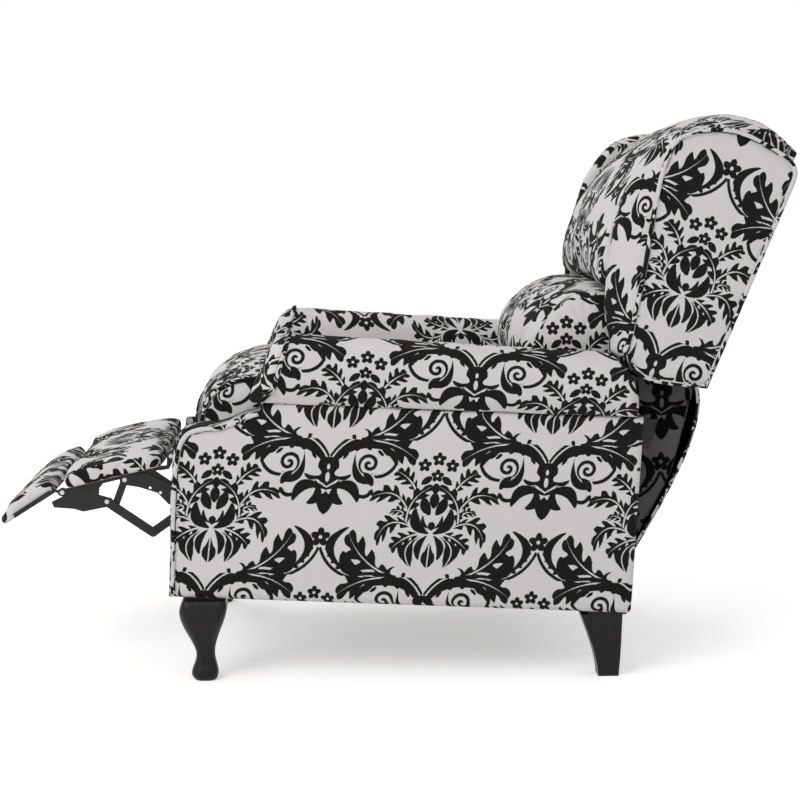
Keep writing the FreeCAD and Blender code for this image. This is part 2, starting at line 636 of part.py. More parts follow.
FRAME_TOP = 400.0
FRAME_DEEP = 128.0
SKIN_T = 12.0
TAIL_T = 14.0
TAIL_LOW = (833.0, 202.0)
TAIL_HALF = FRAME_HALF + 4.0
tail_bend = (912.0, 346.0)
tail_outline = [back_at(-2.0, -4.0), (tail_bend, TAIL_LOW), moved(TAIL_LOW, -TAIL_T, 6.0),
                (moved(tail_bend, -TAIL_T, 6.0), back_at(-2.0, -4.0 + TAIL_T + 6.0))]
save("tail_panel", slab(tail_outline, -TAIL_HALF, TAIL_HALF))
back_side = slab([
    back_at(FRAME_TOP, SKIN_T + 2.0), back_at(-2.0, -4.0 + TAIL_T + 6.0),
    (moved(tail_bend, -TAIL_T, 6.0), moved(TAIL_LOW, -TAIL_T, 6.0)), moved(TAIL_LOW, -TAIL_T - 10.0, 30.0),
    (800.0, 330.0), (772.0, 428.0), back_at(-50.0, FRAME_DEEP), back_at(FRAME_TOP, FRAME_DEEP),
], FRAME_HALF - FRAME_T, FRAME_HALF)
save_pair("back_side", back_side)


def back_board(u0, u1, v0, v1, half):
    return slab([back_at(u0, v0), back_at(u1, v0), back_at(u1, v1), back_at(u0, v1)], -half, half)


RAIL_HALF = FRAME_HALF - FRAME_T
back_rails = [back_board(366.0, 396.0, 100.0, 122.0, RAIL_HALF),
              back_board(112.0, 142.0, 100.0, 122.0, RAIL_HALF),
              back_board(-46.0, -16.0, 100.0, 122.0, RAIL_HALF)]
save("back_rails", *back_rails)
save("tail_rail", slab([moved(TAIL_LOW, -TAIL_T - 2.0, 12.0), moved(TAIL_LOW, 4.0, 42.0),
                        moved(TAIL_LOW, -14.0, 50.0), moved(TAIL_LOW, -TAIL_T - 9.0, 28.0)],
                       -RAIL_HALF, RAIL_HALF))

WEB_T = 2.5
WEB_W = 50.0
webs = [back_board(u, u + WEB_W, FRAME_DEEP, FRAME_DEEP + WEB_T, FRAME_HALF - 2.0)
        for u in (-30.0, 50.0, 130.0, 210.0, 290.0)]
save("back_webbing", *webs)

PAD_FACE = FRAME_DEEP + WEB_T + 0.3
lumbar_outline = [
    back_at(-44.0, PAD_FACE), (668.0, 502.0), ((617.0, 535.0), (634.0, 602.0)),
    ((682.0, 664.0), (776.0, 686.0)), ((832.0, 690.0), back_at(96.0, PAD_FACE)),
]
lumbar_middle = (815.0, 596.0)
lumbar_half = FRAME_HALF + 4.0
lumbar_layers = [(-lumbar_half, 0.84), (-0.7 * lumbar_half, 0.97), (0.0, 1.0),
                 (0.7 * lumbar_half, 0.97), (lumbar_half, 0.84)]
behind_webs = back_board(-200.0, 700.0, -300.0, PAD_FACE, 400.0)
lumbar = puffed(lumbar_outline, lumbar_middle, lumbar_layers).cut(behind_webs)
save("lumbar_cushion", lumbar)

upper_outline = [
    back_at(100.0, PAD_FACE), back_at(404.0, PAD_FACE), back_at(404.0, SKIN_T), back_at(470.0, SKIN_T),
    (back_at(481.0, 44.0), back_at(470.0, 96.0)), (back_at(438.0, 168.0), back_at(394.0, 200.0)),
    (back_at(280.0, 190.0), back_at(150.0, 174.0)), (back_at(108.0, 164.0), back_at(100.0, PAD_FACE)),
]
upper_layers = [(-WING_IN, 0.92), (-0.6 * WING_IN, 0.975), (0.0, 1.0),
                (0.6 * WING_IN, 0.975), (WING_IN, 0.92)]
upper = puffed(upper_outline, back_at(100.0, PAD_FACE), upper_layers)
upper = upper.cut(back_board(-50.0, FRAME_TOP + 3.0, -50.0, PAD_FACE, 400.0))
upper = upper.cut(back_board(FRAME_TOP, 600.0, -50.0, SKIN_T, 400.0))
save("upper_cushion", upper.cut(lumbar))

WING_OUTLINE = [
    (797.0, 578.0), ((824.0, 690.0), (848.0, 835.0)), ((862.0, 918.0), (905.0, 954.0)),
    ((985.0, 962.0), (1056.0, 929.0)), ((1080.0, 913.0), back_at(402.0, SKIN_T)),
    back_at(0.0, SKIN_T), ((884.0, 522.0), (839.0, 529.0)), ((818.0, 550.0), (797.0, 578.0)),
]
WING_MIDDLE = (945.0, 745.0)
wing_layers = [(WING_IN, 0.93), (WING_IN + 20.0, 0.985), (WING_OUT - 22.0, 1.0), (WING_OUT, 0.99)]
wing_board = puffed(WING_OUTLINE, WING_MIDDLE, [(290.0, 0.9), (290.0 + 12.0, 0.9)])
save("wing_frames", wing_board, mirrored(wing_board))
save_pair("wing", puffed(WING_OUTLINE, WING_MIDDLE, wing_layers).cut(wing_board))
welt_outer = puffed(WING_OUTLINE, WING_MIDDLE, [(WING_OUT, 1.01), (WING_OUT + 5.0, 1.01)])
welt_inner = puffed(WING_OUTLINE, WING_MIDDLE, [(WING_OUT - 1.0, 0.975), (WING_OUT + 6.0, 0.975)])
wing_welt = welt_outer.cut(welt_inner)
save("wing_welts", wing_welt, mirrored(wing_welt))

skin_half = WING_IN - 0.5
skin_face = Part.Face(wire([(-skin_half, 0.0), (skin_half, 0.0), (skin_half, 440.0),
                            ((0.0, 470.0), (-skin_half, 440.0))], lambda p: V(p[0], 0, p[1])))
skin = skin_face.extrude(V(0, -SKIN_T, 0))
skin.rotate(V(0, 0, 0), X_AXIS, -BACK_TILT)
skin.translate(V(0, BACK_CORNER[0], BACK_CORNER[1]))
save("outside_back", skin)

hinge_plate = strap(BACK_PIVOT, (800.0, 404.0), 13.0, FRAME_HALF, FRAME_HALF + HINGE_T)
hinge_plate = hinge_plate.fuse(slab([(786.0, 384.0), (862.0, 400.0), (876.0, 450.0), (796.0, 452.0)],
                                    FRAME_HALF, FRAME_HALF + HINGE_T))
hinge_plate = bored(hinge_plate, [BACK_PIVOT], HOLE_R)
save("back_hinges", hinge_plate, mirrored(hinge_plate))
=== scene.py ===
import math

import bmesh
import bpy
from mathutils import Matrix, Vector


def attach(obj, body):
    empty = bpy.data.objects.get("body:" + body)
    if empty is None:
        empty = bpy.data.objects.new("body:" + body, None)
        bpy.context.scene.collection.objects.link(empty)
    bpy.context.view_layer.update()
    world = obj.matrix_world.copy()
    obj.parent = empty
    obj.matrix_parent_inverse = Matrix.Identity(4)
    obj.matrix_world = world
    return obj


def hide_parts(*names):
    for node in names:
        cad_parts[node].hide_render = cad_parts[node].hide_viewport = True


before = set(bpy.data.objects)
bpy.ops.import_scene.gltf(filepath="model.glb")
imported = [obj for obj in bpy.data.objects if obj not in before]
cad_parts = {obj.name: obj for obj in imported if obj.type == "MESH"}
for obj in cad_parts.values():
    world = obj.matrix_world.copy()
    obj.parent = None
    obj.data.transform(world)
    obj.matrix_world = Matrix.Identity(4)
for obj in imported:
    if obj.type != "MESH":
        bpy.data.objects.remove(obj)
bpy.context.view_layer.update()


# The studio: a pale floor, a white surround and two large soft lamps. The camera stands
# at the sitter's left, a little above the arms and just behind the front legs.
scene = bpy.context.scene
scene.view_settings.view_transform = "Standard"


def joined(tree, output, target):
    tree.links.new(output, target)
    return output


def lit_where_seen(tree, plain, seen_value):
    """One brightness for the eye, mirrors and glass, and another for the light it gives."""
    rays = tree.nodes.new("ShaderNodeLightPath")
    share = rays.outputs["Is Camera Ray"]
    for other in ("Is Glossy Ray", "Is Transmission Ray"):
        either = tree.nodes.new("ShaderNodeMath")
        either.operation = "MAXIMUM"
        tree.links.new(share, either.inputs[0])
        tree.links.new(rays.outputs[other], either.inputs[1])
        share = either.outputs[0]
    spread = tree.nodes.new("ShaderNodeMapRange")
    spread.inputs["To Min"].default_value = plain
    spread.inputs["To Max"].default_value = seen_value
    tree.links.new(share, spread.inputs["Value"])
    return spread.outputs["Result"]


surround = bpy.data.worlds.new("white_surround")
surround.use_nodes = True
scene.world = surround
nodes = surround.node_tree.nodes
background = nodes["Background"]
background.inputs["Color"].default_value = (1.0, 1.0, 1.0, 1.0)
brightness = lit_where_seen(surround.node_tree, 0.62, 1.0)
joined(surround.node_tree, brightness, background.inputs["Strength"])

FLOOR_HALF = 40.0
floor_mesh = bpy.data.meshes.new("studio_floor")
floor_mesh.from_pydata([(-FLOOR_HALF, -FLOOR_HALF, 0), (FLOOR_HALF, -FLOOR_HALF, 0),
                        (FLOOR_HALF, FLOOR_HALF, 0), (-FLOOR_HALF, FLOOR_HALF, 0)], [], [(0, 1, 2, 3)])
floor = bpy.data.objects.new("studio_floor", floor_mesh)
scene.collection.objects.link(floor)
floor_paint = bpy.data.materials.new("floor_paint")
floor_paint.use_nodes = True
painted = floor_paint.node_tree.nodes["Principled BSDF"]
painted.inputs["Base Color"].default_value = (0.94, 0.94, 0.94, 1.0)
painted.inputs["Roughness"].default_value = 0.9
painted.inputs["Specular IOR Level"].default_value = 0.0
painted.inputs["Emission Color"].default_value = (1.0, 1.0, 1.0, 1.0)
glow = lit_where_seen(floor_paint.node_tree, 0.0, 0.42)
joined(floor_paint.node_tree, glow, painted.inputs["Emission Strength"])
floor.data.materials.append(floor_paint)


def soft_lamp(name, place, aim, side, watts):
    lamp = bpy.data.lights.new(name, "AREA")
    lamp.shape = "SQUARE"
    lamp.size = side
    lamp.energy = watts
    holder = bpy.data.objects.new(name, lamp)
    holder.location = place
    holder.rotation_euler = (Vector(aim) - Vector(place)).to_track_quat("-Z", "Y").to_euler()
    scene.collection.objects.link(holder)


soft_lamp("key_lamp", (3.4, -2.6, 3.6), (0.0, 0.0, 0.5), 2.6, 95.0)
soft_lamp("fill_lamp", (-3.2, -2.4, 2.8), (0.0, 0.0, 0.5), 2.6, 38.0)

LENS_MM = 85.2
CAMERA_PLACE = (3.5732, -0.1321, 0.8947)
CAMERA_YAW = 2.34
CAMERA_DOWN = 6.99
lens = bpy.data.cameras.new("photo_camera")
lens.lens = LENS_MM
lens.sensor_width = 36.0
camera = bpy.data.objects.new("photo_camera", lens)
yaw = math.radians(CAMERA_YAW)
down = math.radians(CAMERA_DOWN)
looking = Vector((-math.cos(down) * math.cos(yaw), math.cos(down) * math.sin(yaw), -math.sin(down)))
camera.location = CAMERA_PLACE
camera.rotation_euler = looking.to_track_quat("-Z", "Y").to_euler()
scene.collection.objects.link(camera)
scene.camera = camera


# Wooden frame: sawn softwood rails and blocks, and birch plywood boards, glued and
# screwed. All of it stays raw, because the upholstery hides it.
def node(tree, kind, **settings):
    made = tree.nodes.new(kind)
    for name, value in settings.items():
        setattr(made, name, value)
    return made


def fed(tree, kind, feeds, out=0, **settings):
    """A new node with its inputs fed by numbers or by other nodes' outputs."""
    made = node(tree, kind, **settings)
    for name, value in feeds.items():
        if isinstance(value, bpy.types.NodeSocket):
            tree.links.new(value, made.inputs[name])
        else:
            made.inputs[name].default_value = value
    return made.outputs[out]


def calc(tree, operation, *feeds):
    return fed(tree, "ShaderNodeMath", dict(enumerate(feeds)), operation=operation)


def finish_of(name, roughness, **sockets):
    """A material, with its tree and its shader."""
    made = bpy.data.materials.new(name)
    made.use_nodes = True
    shader = made.node_tree.nodes["Principled BSDF"]
    shader.inputs["Roughness"].default_value = roughness
    for socket, value in sockets.items():
        shader.inputs[socket.replace("_", " ")].default_value = value
    return made, made.node_tree, shader


def tinted(tree, shader, share, low, high):
    """Base colour that runs from low to high as share goes from 0 to 1."""
    mixed = node(tree, "ShaderNodeMix", data_type="RGBA")
    tree.links.new(share, mixed.inputs["Factor"])
    mixed.inputs[6].default_value = (*low, 1.0)
    mixed.inputs[7].default_value = (*high, 1.0)
    tree.links.new(mixed.outputs[2], shader.inputs["Base Color"])
    return mixed


def raised(tree, shader, height, depth):
    bump = node(tree, "ShaderNodeBump")
    bump.inputs["Strength"].default_value = 1.0
    bump.inputs["Distance"].default_value = depth
    tree.links.new(height, bump.inputs["Height"])
    tree.links.new(bump.outputs["Normal"], shader.inputs["Normal"])


def wood_finish(name, low, high, stretch):
    made, tree, shader = finish_of(name, 0.75)
    place = node(tree, "ShaderNodeTexCoord").outputs["Object"]
    long_grain = fed(tree, "ShaderNodeMapping", {"Vector": place, "Scale": stretch})
    grain = fed(tree, "ShaderNodeTexNoise", {"Vector": long_grain, "Scale": 1.0, "Detail": 6.0})
    tinted(tree, shader, grain, low, high)
    raised(tree, shader, grain, 0.0006)
    return made


softwood = wood_finish("sawn_softwood", (0.42, 0.27, 0.13), (0.68, 0.5, 0.3), (12.0, 90.0, 90.0))
plywood = wood_finish("birch_plywood", (0.5, 0.36, 0.2), (0.72, 0.56, 0.36), (300.0, 20.0, 20.0))


def finish_nodes(material, *names):
    """CAD nodes that keep their shape and take this finish."""
    for name in names:
        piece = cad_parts[name]
        piece.data.materials.clear()
        piece.data.materials.append(material)


finish_nodes(softwood, "mount_rails", "arm_rails", "back_rails", "seat_rear_rail",
             "seat_side_rails")
finish_nodes(plywood, "side_frame_left", "side_frame_right", "wing_frames", "footrest_board",
             "flip_board")


# Springing: sinuous steel wire across the seat frame, and strips of elastic webbing
# stapled across the back's frame.
def zinc_finish():
    made, tree, shader = finish_of("zinc_plate", 0.35, Metallic=1.0)
    place = node(tree, "ShaderNodeTexCoord").outputs["Object"]
    cloudy = fed(tree, "ShaderNodeTexNoise", {"Vector": place, "Scale": 140.0, "Detail": 3.0})
    tinted(tree, shader, cloudy, (0.4, 0.4, 0.42), (0.62, 0.62, 0.64))
    return made


def webbing_finish():
    made, tree, shader = finish_of("elastic_webbing", 0.85)
    place = node(tree, "ShaderNodeTexCoord").outputs["Object"]
    ribs = fed(tree, "ShaderNodeTexWave", {"Vector": place, "Scale": 160.0, "Distortion": 0.4})
    tinted(tree, shader, ribs, (0.05, 0.045, 0.04), (0.2, 0.18, 0.16))
    raised(tree, shader, ribs, 0.0005)
    return made


zinc = zinc_finish()
finish_nodes(zinc, "seat_springs", "slide_tracks", "frame_pins", "bracket_rivets",
             "guide_pin_left", "guide_pin_right")
finish_nodes(webbing_finish(), "back_webbing")


# Footrest linkage and back hinges: stamped steel straps, painted satin black, joined by
# rivets. The guide link's pin runs in the curved slot of the side plate.
def black_paint():
    made, tree, shader = finish_of("satin_black_paint", 0.36)
    shader.inputs["Specular IOR Level"].default_value = 0.3
    place = node(tree, "ShaderNodeTexCoord").outputs["Object"]
    dust = fed(tree, "ShaderNodeTexNoise", {"Vector": place, "Scale": 60.0, "Detail": 8.0})
    tinted(tree, shader, dust, (0.006, 0.006, 0.007), (0.018, 0.017, 0.018))
    peel = fed(tree, "ShaderNodeTexNoise", {"Vector": place, "Scale": 700.0, "Detail": 2.0})
    raised(tree, shader, peel, 0.00015)
    return made


finish_nodes(black_paint(), "side_plate_left", "side_plate_right", "crank_arms", "torque_tube",
             "rear_tube", "footrest_bracket_left", "footrest_bracket_right", "front_link_left",
             "front_link_right", "guide_link_left", "guide_link_right", "flip_arms",
             "back_hinges", "seat_runners")


# Legs: bowed front legs and swept rear posts of hardwood, lacquered black, each bolted
# up into its corner block. What shows behind, the blocks and rear rails, is black too.
def black_lacquer():
    made, tree, shader = finish_of("black_lacquer", 0.34, Specular_IOR_Level=0.22)
    place = node(tree, "ShaderNodeTexCoord").outputs["Object"]
    upright = fed(tree, "ShaderNodeMapping", {"Vector": place, "Scale": (120.0, 120.0, 9.0)})
    pores = fed(tree, "ShaderNodeTexNoise", {"Vector": upright, "Scale": 1.0, "Detail": 5.0})
    tinted(tree, shader, pores, (0.004, 0.0035, 0.004), (0.013, 0.011, 0.011))
    raised(tree, shader, pores, 0.0003)
    return made


finish_nodes(black_lacquer(), "front_leg_left", "front_leg_right", "rear_leg_left", "rear_leg_right",
             "corner_blocks", "rear_rail", "tail_rail")


# The damask: a heavy jacquard with a charcoal chenille figure on an off-white ground.
# The figure is a flower medallion over a pair of leafy scrolls. It mirrors on the line
# through each flower, and every second column stands half a repeat lower.
COLUMN = 0.1907            # from one line of flowers to the next
HALF_REPEAT = 0.241
DROP = -0.095              # where one half repeat gives way to the next, from a flower's heart

# Edge shapes of one leaf from its root to its tip, as (share along, share of half width)
LEAF_EDGES = {
    "petal": [(0.0, 0.0), (0.12, 0.5), (0.55, 1.0), (0.85, 0.72), (1.0, 0.0)],
    "fold": [(0.0, 0.1), (0.3, 0.5), (0.62, 1.0), (0.86, 0.62), (1.0, 0.0)],
    "horn": [(0.0, 0.55), (0.2, 0.8), (0.6, 1.0), (0.9, 0.7), (1.0, 0.0)],
    "line": [(0.0, 0.0), (0.02, 1.0), (0.5, 1.0), (0.97, 1.0), (1.0, 0.0)],
    "spade": [(0.0, 0.1), (0.08, 0.3), (0.36, 1.0), (0.62, 0.85), (1.0, 0.0)],
    "body": [(0.0, 0.25), (0.3, 0.95), (0.55, 0.62), (0.72, 1.0), (0.78, 0.8), (1.0, 0.0)],
    "beads": [(0.0, 0.0), (0.08, 1.0), (0.18, 0.0), (0.27, 0.0), (0.36, 1.0), (0.46, 0.0),
              (0.55, 0.0), (0.64, 1.0), (0.74, 0.0), (0.82, 0.0), (0.91, 1.0), (1.0, 0.0)],
    "leaf": [(0.0, 0.05), (0.1, 0.45), (0.2, 0.62), (0.24, 0.2), (0.36, 0.8), (0.46, 0.96),
             (0.5, 0.34), (0.62, 0.9), (0.72, 1.0), (0.76, 0.4), (0.88, 0.6), (1.0, 0.0)],
}
# Each leaf: its edge, root, tip, how far its middle bows out, and its half width, in mm
# from a flower's heart. The bow is to the left as the leaf is followed from its root.
FIGURE = [
    ("petal", (0, 28), (0, 56), 0.0, 7.6), ("petal", (5, 16), (20, 47), -1.8, 8.0),
    ("petal", (3, -17), (32, 28), -11.1, 8.6), ("petal", (3, -8), (17, 16), -5.1, 2.5),
    ("petal", (0, -11), (0, 5), 0.0, 5.6), ("leaf", (45, -2), (5, 68), -14.0, 12.5),
    ("petal", (0, 53), (0, 73), 0.0, 5.9), ("leaf", (34, 59), (70, 92), 4.5, 15.0),
    ("leaf", (46, 26), (110, 46), 17.0, 15.5), ("leaf", (46, 8), (74, 21), 8.3, 8.5),
    ("leaf", (36, -5), (94, -31), 20.0, 17.0), ("leaf", (21, -17), (66, -45), 4.9, 15.0),
    ("fold", (15, -20), (29, -77), 18.0, 12.4), ("petal", (5, -19), (17, -63), 8.4, 5.6),
    ("fold", (0, -31), (0, -78), 0.0, 11.3), ("petal", (27, 70), (9, 84), -0.2, 5.1),
    ("leaf", (60, -94), (142, -20), -12.0, 21.0), ("horn", (151, -79), (144, -8), -24.9, 7.0),
    ("petal", (109, -90), (150, -52), -11.2, 11.3), ("line", (134, -97), (190, -44), -10.0, 2.0),
    ("beads", (151, -83), (178, -42), -4.5, 3.4), ("line", (55, -95), (56, -76), -9.9, 2.5),
    ("line", (39, -96), (37, -87), -0.6, 2.5), ("line", (50, -96), (137, -97), 6.8, 2.3),
    ("horn", (187, 101), (95, 131), -21.7, 8.5), ("leaf", (141, 143), (40, 113), -11.8, 21.0),
    ("line", (190, 114), (108, 155), -16.2, 1.8), ("horn", (147, 105), (114, 70), 10.2, 6.2),
    ("line", (110, 81), (74, 105), 6.9, 2.5), ("petal", (130, 89), (111, 65), -2.2, 5.6),
    ("beads", (168, 112), (97, 119), -16.2, 3.1), ("horn", (106, 134), (72, 102), -6.7, 4.8),
    ("body", (191, 114), (191, 62), 0.0, 19.0), ("horn", (177, 80), (150, 84), 4.8, 3.1),
    ("horn", (182, 62), (133, 37), -15.7, 9.0), ("line", (137, 49), (111, 56), 6.5, 2.8),
    ("petal", (119, 50), (110, 59), 2.2, 3.7), ("horn", (175, 64), (161, 31), 8.9, 7.6),
    ("spade", (191, 54), (191, 12), 0.0, 14.1),
]
FLORETS = [((0, 115), 12.4), ((24, 104), 12.0), ((0, 86), 11.5), ((191, -27), 17.5)]
SPIRAL = ((121, 103), 19.0, 12.5)
PALE_EYES = [((191, 79), 4.0, 9.0), ((191, 97), 3.0, 5.0)]
VEIN = 0.0019              # half the width of a leaf's pale midrib at its root
SPREAD = 0.0008            # how far the chenille swells past its drawn edge
MM = 0.001


def leaf_curve(tree, edge):
    made = node(tree, "ShaderNodeFloatCurve")
    points = made.mapping.curves[0].points
    shape = LEAF_EDGES[edge]
    while len(points) < len(shape):
        points.new(0.5, 0.5)
    for point, place in zip(points, shape):
        point.location = place
        point.handle_type = "VECTOR" if edge == "line" else "AUTO"
    made.mapping.update()
    return made


def leaf_depth(tree, place, edge, root, tip, bow, half_width):
    """How deep inside one leaf a point lies, in metres; outside it is below zero."""
    run = (Vector(tip) - Vector(root)) * MM
    length = run.length
    turned = (0.0, 0.0, math.atan2(run.y, run.x))
    local = fed(tree, "ShaderNodeMapping", {
        "Vector": place, "Location": (root[0] * MM, root[1] * MM, 0.0), "Rotation": turned,
        "Scale": (length, length, 1.0)}, vector_type="TEXTURE")
    apart = node(tree, "ShaderNodeSeparateXYZ")
    tree.links.new(local, apart.inputs[0])
    along, side = apart.outputs[0], apart.outputs[1]
    if bow:
        left = calc(tree, "SUBTRACT", 1.0, along)
        hump = calc(tree, "MULTIPLY", along, left)
        side = calc(tree, "MULTIPLY_ADD", hump, -4.0 * bow * MM / length, side)
    out = calc(tree, "ABSOLUTE", side)
    if edge == "leaf":
        along = calc(tree, "MULTIPLY_ADD", out, -0.45, along)
    curve = leaf_curve(tree, edge)
    tree.links.new(along, curve.inputs["Value"])
    reach = calc(tree, "MULTIPLY_ADD", curve.outputs[0], half_width * MM + 2 * SPREAD, -SPREAD)
    depth = calc(tree, "MULTIPLY_ADD", out, -length, reach)
    if edge == "fold":
        slit = calc(tree, "MULTIPLY_ADD", out, length, -0.0011)
        depth = calc(tree, "MINIMUM", depth, slit)
    if edge == "leaf":
        vein = calc(tree, "MULTIPLY_ADD", along, VEIN, -VEIN)
        depth = calc(tree, "MINIMUM", depth, calc(tree, "MULTIPLY_ADD", out, length, vein))
    return depth


def polar(tree, place, centre):
    """Distance and angle of a point about a centre given in mm."""
    offset = fed(tree, "ShaderNodeVectorMath",
                 {0: place, 1: (centre[0] * MM, centre[1] * MM, 0.0)}, operation="SUBTRACT")
    apart = node(tree, "ShaderNodeSeparateXYZ")
    tree.links.new(offset, apart.inputs[0])
    radius = fed(tree, "ShaderNodeVectorMath", {0: offset}, out=1, operation="LENGTH")
    return radius, calc(tree, "ARCTAN2", apart.outputs[1], apart.outputs[0])


def floret_depth(tree, place, centre, size):
    """Five round petals about a pale eye."""
    radius, angle = polar(tree, place, centre)
    turned = calc(tree, "MULTIPLY_ADD", angle, 2.5, -math.pi / 4)
    wave = calc(tree, "ABSOLUTE", calc(tree, "COSINE", turned))
    rim = calc(tree, "MULTIPLY_ADD", wave, 0.42 * size * MM, 0.58 * size * MM)
    inside = calc(tree, "SUBTRACT", rim, radius)
    eye = calc(tree, "SUBTRACT", radius, 0.2 * size * MM)
    return calc(tree, "MINIMUM", inside, eye)


def figure_depth(tree, cloth):
    """Depth inside the woven figure at a point of the cloth, in metres."""
    apart = node(tree, "ShaderNodeSeparateXYZ")
    tree.links.new(cloth, apart.inputs[0])
    rows = calc(tree, "MULTIPLY_ADD", apart.outputs[1], 1 / HALF_REPEAT, -DROP / HALF_REPEAT)
    row = calc(tree, "FLOOR", rows)
    up = calc(tree, "MULTIPLY_ADD", row, -HALF_REPEAT, apart.outputs[1])
    over = calc(tree, "MULTIPLY_ADD", row, COLUMN, apart.outputs[0])
    across = calc(tree, "PINGPONG", over, COLUMN)
    place = fed(tree, "ShaderNodeCombineXYZ", {0: across, 1: up})
    depths = [leaf_depth(tree, place, *leaf) for leaf in FIGURE]
    depths += [floret_depth(tree, place, *floret) for floret in FLORETS]

    centre, size, pitch = SPIRAL
    radius, angle = polar(tree, place, centre)
    turns = calc(tree, "MULTIPLY_ADD", angle, 1 / (2 * math.pi), 0.1)
    phase = calc(tree, "FRACT", calc(tree, "MULTIPLY_ADD", radius, 1 / (pitch * MM), turns))
    band = calc(tree, "ABSOLUTE", calc(tree, "SUBTRACT", phase, 0.5))
    line = calc(tree, "MULTIPLY_ADD", band, -pitch * MM, 0.25 * pitch * MM)
    depths.append(calc(tree, "MINIMUM", line, calc(tree, "SUBTRACT", size * MM, radius)))

    depth = depths[0]
    for other in depths[1:]:
        depth = calc(tree, "MAXIMUM", depth, other)
    for eye, half_wide, half_high in PALE_EYES:
        local = fed(tree, "ShaderNodeMapping", {
            "Vector": place, "Location": (eye[0] * MM, eye[1] * MM, 0.0),
            "Scale": (half_wide * MM, half_high * MM, 1.0)}, vector_type="TEXTURE")
        ring = fed(tree, "ShaderNodeVectorMath", {0: local}, out=1, operation="LENGTH")
        outside = calc(tree, "MULTIPLY_ADD", ring, half_wide * MM, -half_wide * MM)
        depth = calc(tree, "MINIMUM", depth, outside)
    return depth


def damask_cloth(name, light=1.0):
    """light scales all its colours down: painted shade for cloth that lies in a dark recess where little
    light falls; 1.0 leaves them as they are.
    """
    made, tree, shader = finish_of(name, 0.9, Sheen_Weight=0.03, Specular_IOR_Level=0.06)
    cut = node(tree, "ShaderNodeUVMap", uv_map="cloth").outputs[0]
    fuzz = fed(tree, "ShaderNodeTexNoise", {"Vector": cut, "Scale": 650.0, "Detail": 2.0}, out=1)
    off_middle = fed(tree, "ShaderNodeVectorMath", {0: fuzz, 1: (0.5, 0.5, 0.5)}, operation="SUBTRACT")
    shaken = fed(tree, "ShaderNodeVectorMath", {0: off_middle, 1: (0.0022, 0.0022, 0.0), 2: cut},
                 operation="MULTIPLY_ADD")
    depth = figure_depth(tree, shaken)
    figure = fed(tree, "ShaderNodeMapRange", {"Value": depth, "From Min": -0.0004, "From Max": 0.0003})

    ribs = fed(tree, "ShaderNodeMapping", {
        "Vector": cut, "Rotation": (0.0, 0.0, 0.9), "Scale": (1300.0, 520.0, 1.0)})
    yarn = fed(tree, "ShaderNodeTexNoise", {"Vector": ribs, "Scale": 1.0, "Detail": 3.0})
    tufts = fed(tree, "ShaderNodeMapRange", {"Value": yarn, "From Min": 0.42, "From Max": 0.7})
    dark = node(tree, "ShaderNodeMix", data_type="RGBA")
    joined(tree, tufts, dark.inputs["Factor"])
    # Every colour is scaled by light; below 1 that is painted shade.
    dark.inputs[6].default_value = (0.0035 * light, 0.003 * light, 0.0035 * light, 1.0)
    dark.inputs[7].default_value = (0.04 * light, 0.036 * light, 0.038 * light, 1.0)

    weft = fed(tree, "ShaderNodeMapping", {"Vector": cut, "Scale": (260.0, 900.0, 1.0)})
    slub = fed(tree, "ShaderNodeTexNoise", {"Vector": weft, "Scale": 1.0, "Detail": 5.0, "Roughness": 0.7})
    pale = node(tree, "ShaderNodeMix", data_type="RGBA")
    joined(tree, slub, pale.inputs["Factor"])
    pale.inputs[6].default_value = (0.6 * light, 0.575 * light, 0.56 * light, 1.0)
    pale.inputs[7].default_value = (0.8 * light, 0.785 * light, 0.775 * light, 1.0)

    cloth = node(tree, "ShaderNodeMix", data_type="RGBA")
    joined(tree, figure, cloth.inputs["Factor"])
    joined(tree, pale.outputs[2], cloth.inputs[6])
    joined(tree, dark.outputs[2], cloth.inputs[7])
    joined(tree, cloth.outputs[2], shader.inputs["Base Color"])
    relief = calc(tree, "ADD", slub, yarn)
    raised(tree, shader, relief, 0.0007)
    return made


damask = damask_cloth("damask")


# Covered boards: the sides of the back, which show in the deep recess behind the arms, and the front rails of
# the seat and of the base. The same damask is stapled round each, but on the sides of the back every colour
# is darkened to 0.16 of itself: painted shade for the recess, where hardly any light falls.
CLOTH_THICK = 0.0008


def covered_board(name, node_name, body, shade):
    """The board's own mesh, a little larger, with the cloth laid on its widest face."""
    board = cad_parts[node_name]
    made = board.data.copy()
    made.name = name
    made.materials.clear()
    made.materials.append(shade)
    layer = made.uv_layers.new(name="cloth")
    wide = max(v.co.x for v in made.vertices) - min(v.co.x for v in made.vertices)
    deep = max(v.co.y for v in made.vertices) - min(v.co.y for v in made.vertices)
    middle = sum((v.co for v in made.vertices), Vector()) / len(made.vertices)
    for vertex in made.vertices:
        for axis in ((1, 2) if wide > deep else (0,)):
            vertex.co[axis] += math.copysign(CLOTH_THICK, vertex.co[axis] - middle[axis])
    for loop in made.loops:
        place = made.vertices[loop.vertex_index].co
        layer.data[loop.index].uv = (place.x if wide > deep else place.y - 0.28, place.z - 0.4)
    cover = bpy.data.objects.new(name, made)
    cover.matrix_world = board.matrix_world
    scene.collection.objects.link(cover)
    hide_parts(node_name)
    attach(cover, body)


# Painted shade: the damask with every colour scaled to 0.16, for the sides of the back in the dark recess.
painted_shade_damask = damask_cloth("damask_with_painted_shade", light=0.16)
covered_board("back_side_cover_left", "back_side_left", "back", painted_shade_damask)
covered_board("back_side_cover_right", "back_side_right", "back", painted_shade_damask)
covered_board("seat_rail_cover", "seat_front_rail", "seat", damask)
covered_board("front_rail_cover", "front_rail", "base", damask)


# Side panels: padded fabric stapled over the plywood side frames. The fabric wraps the
# front and rear edges, and a welt is sewn along the front edge and the shoulder.
FRONT_EDGE = -0.412        # the side panels' front bottom corners, along the chair
PANEL_OUT = 0.335
PANEL_IN = 0.268


def chair_point(x, depth, height):
    """Depths are measured back from the side panels' front bottom corners."""
    return Vector((x, depth + FRONT_EDGE, height))


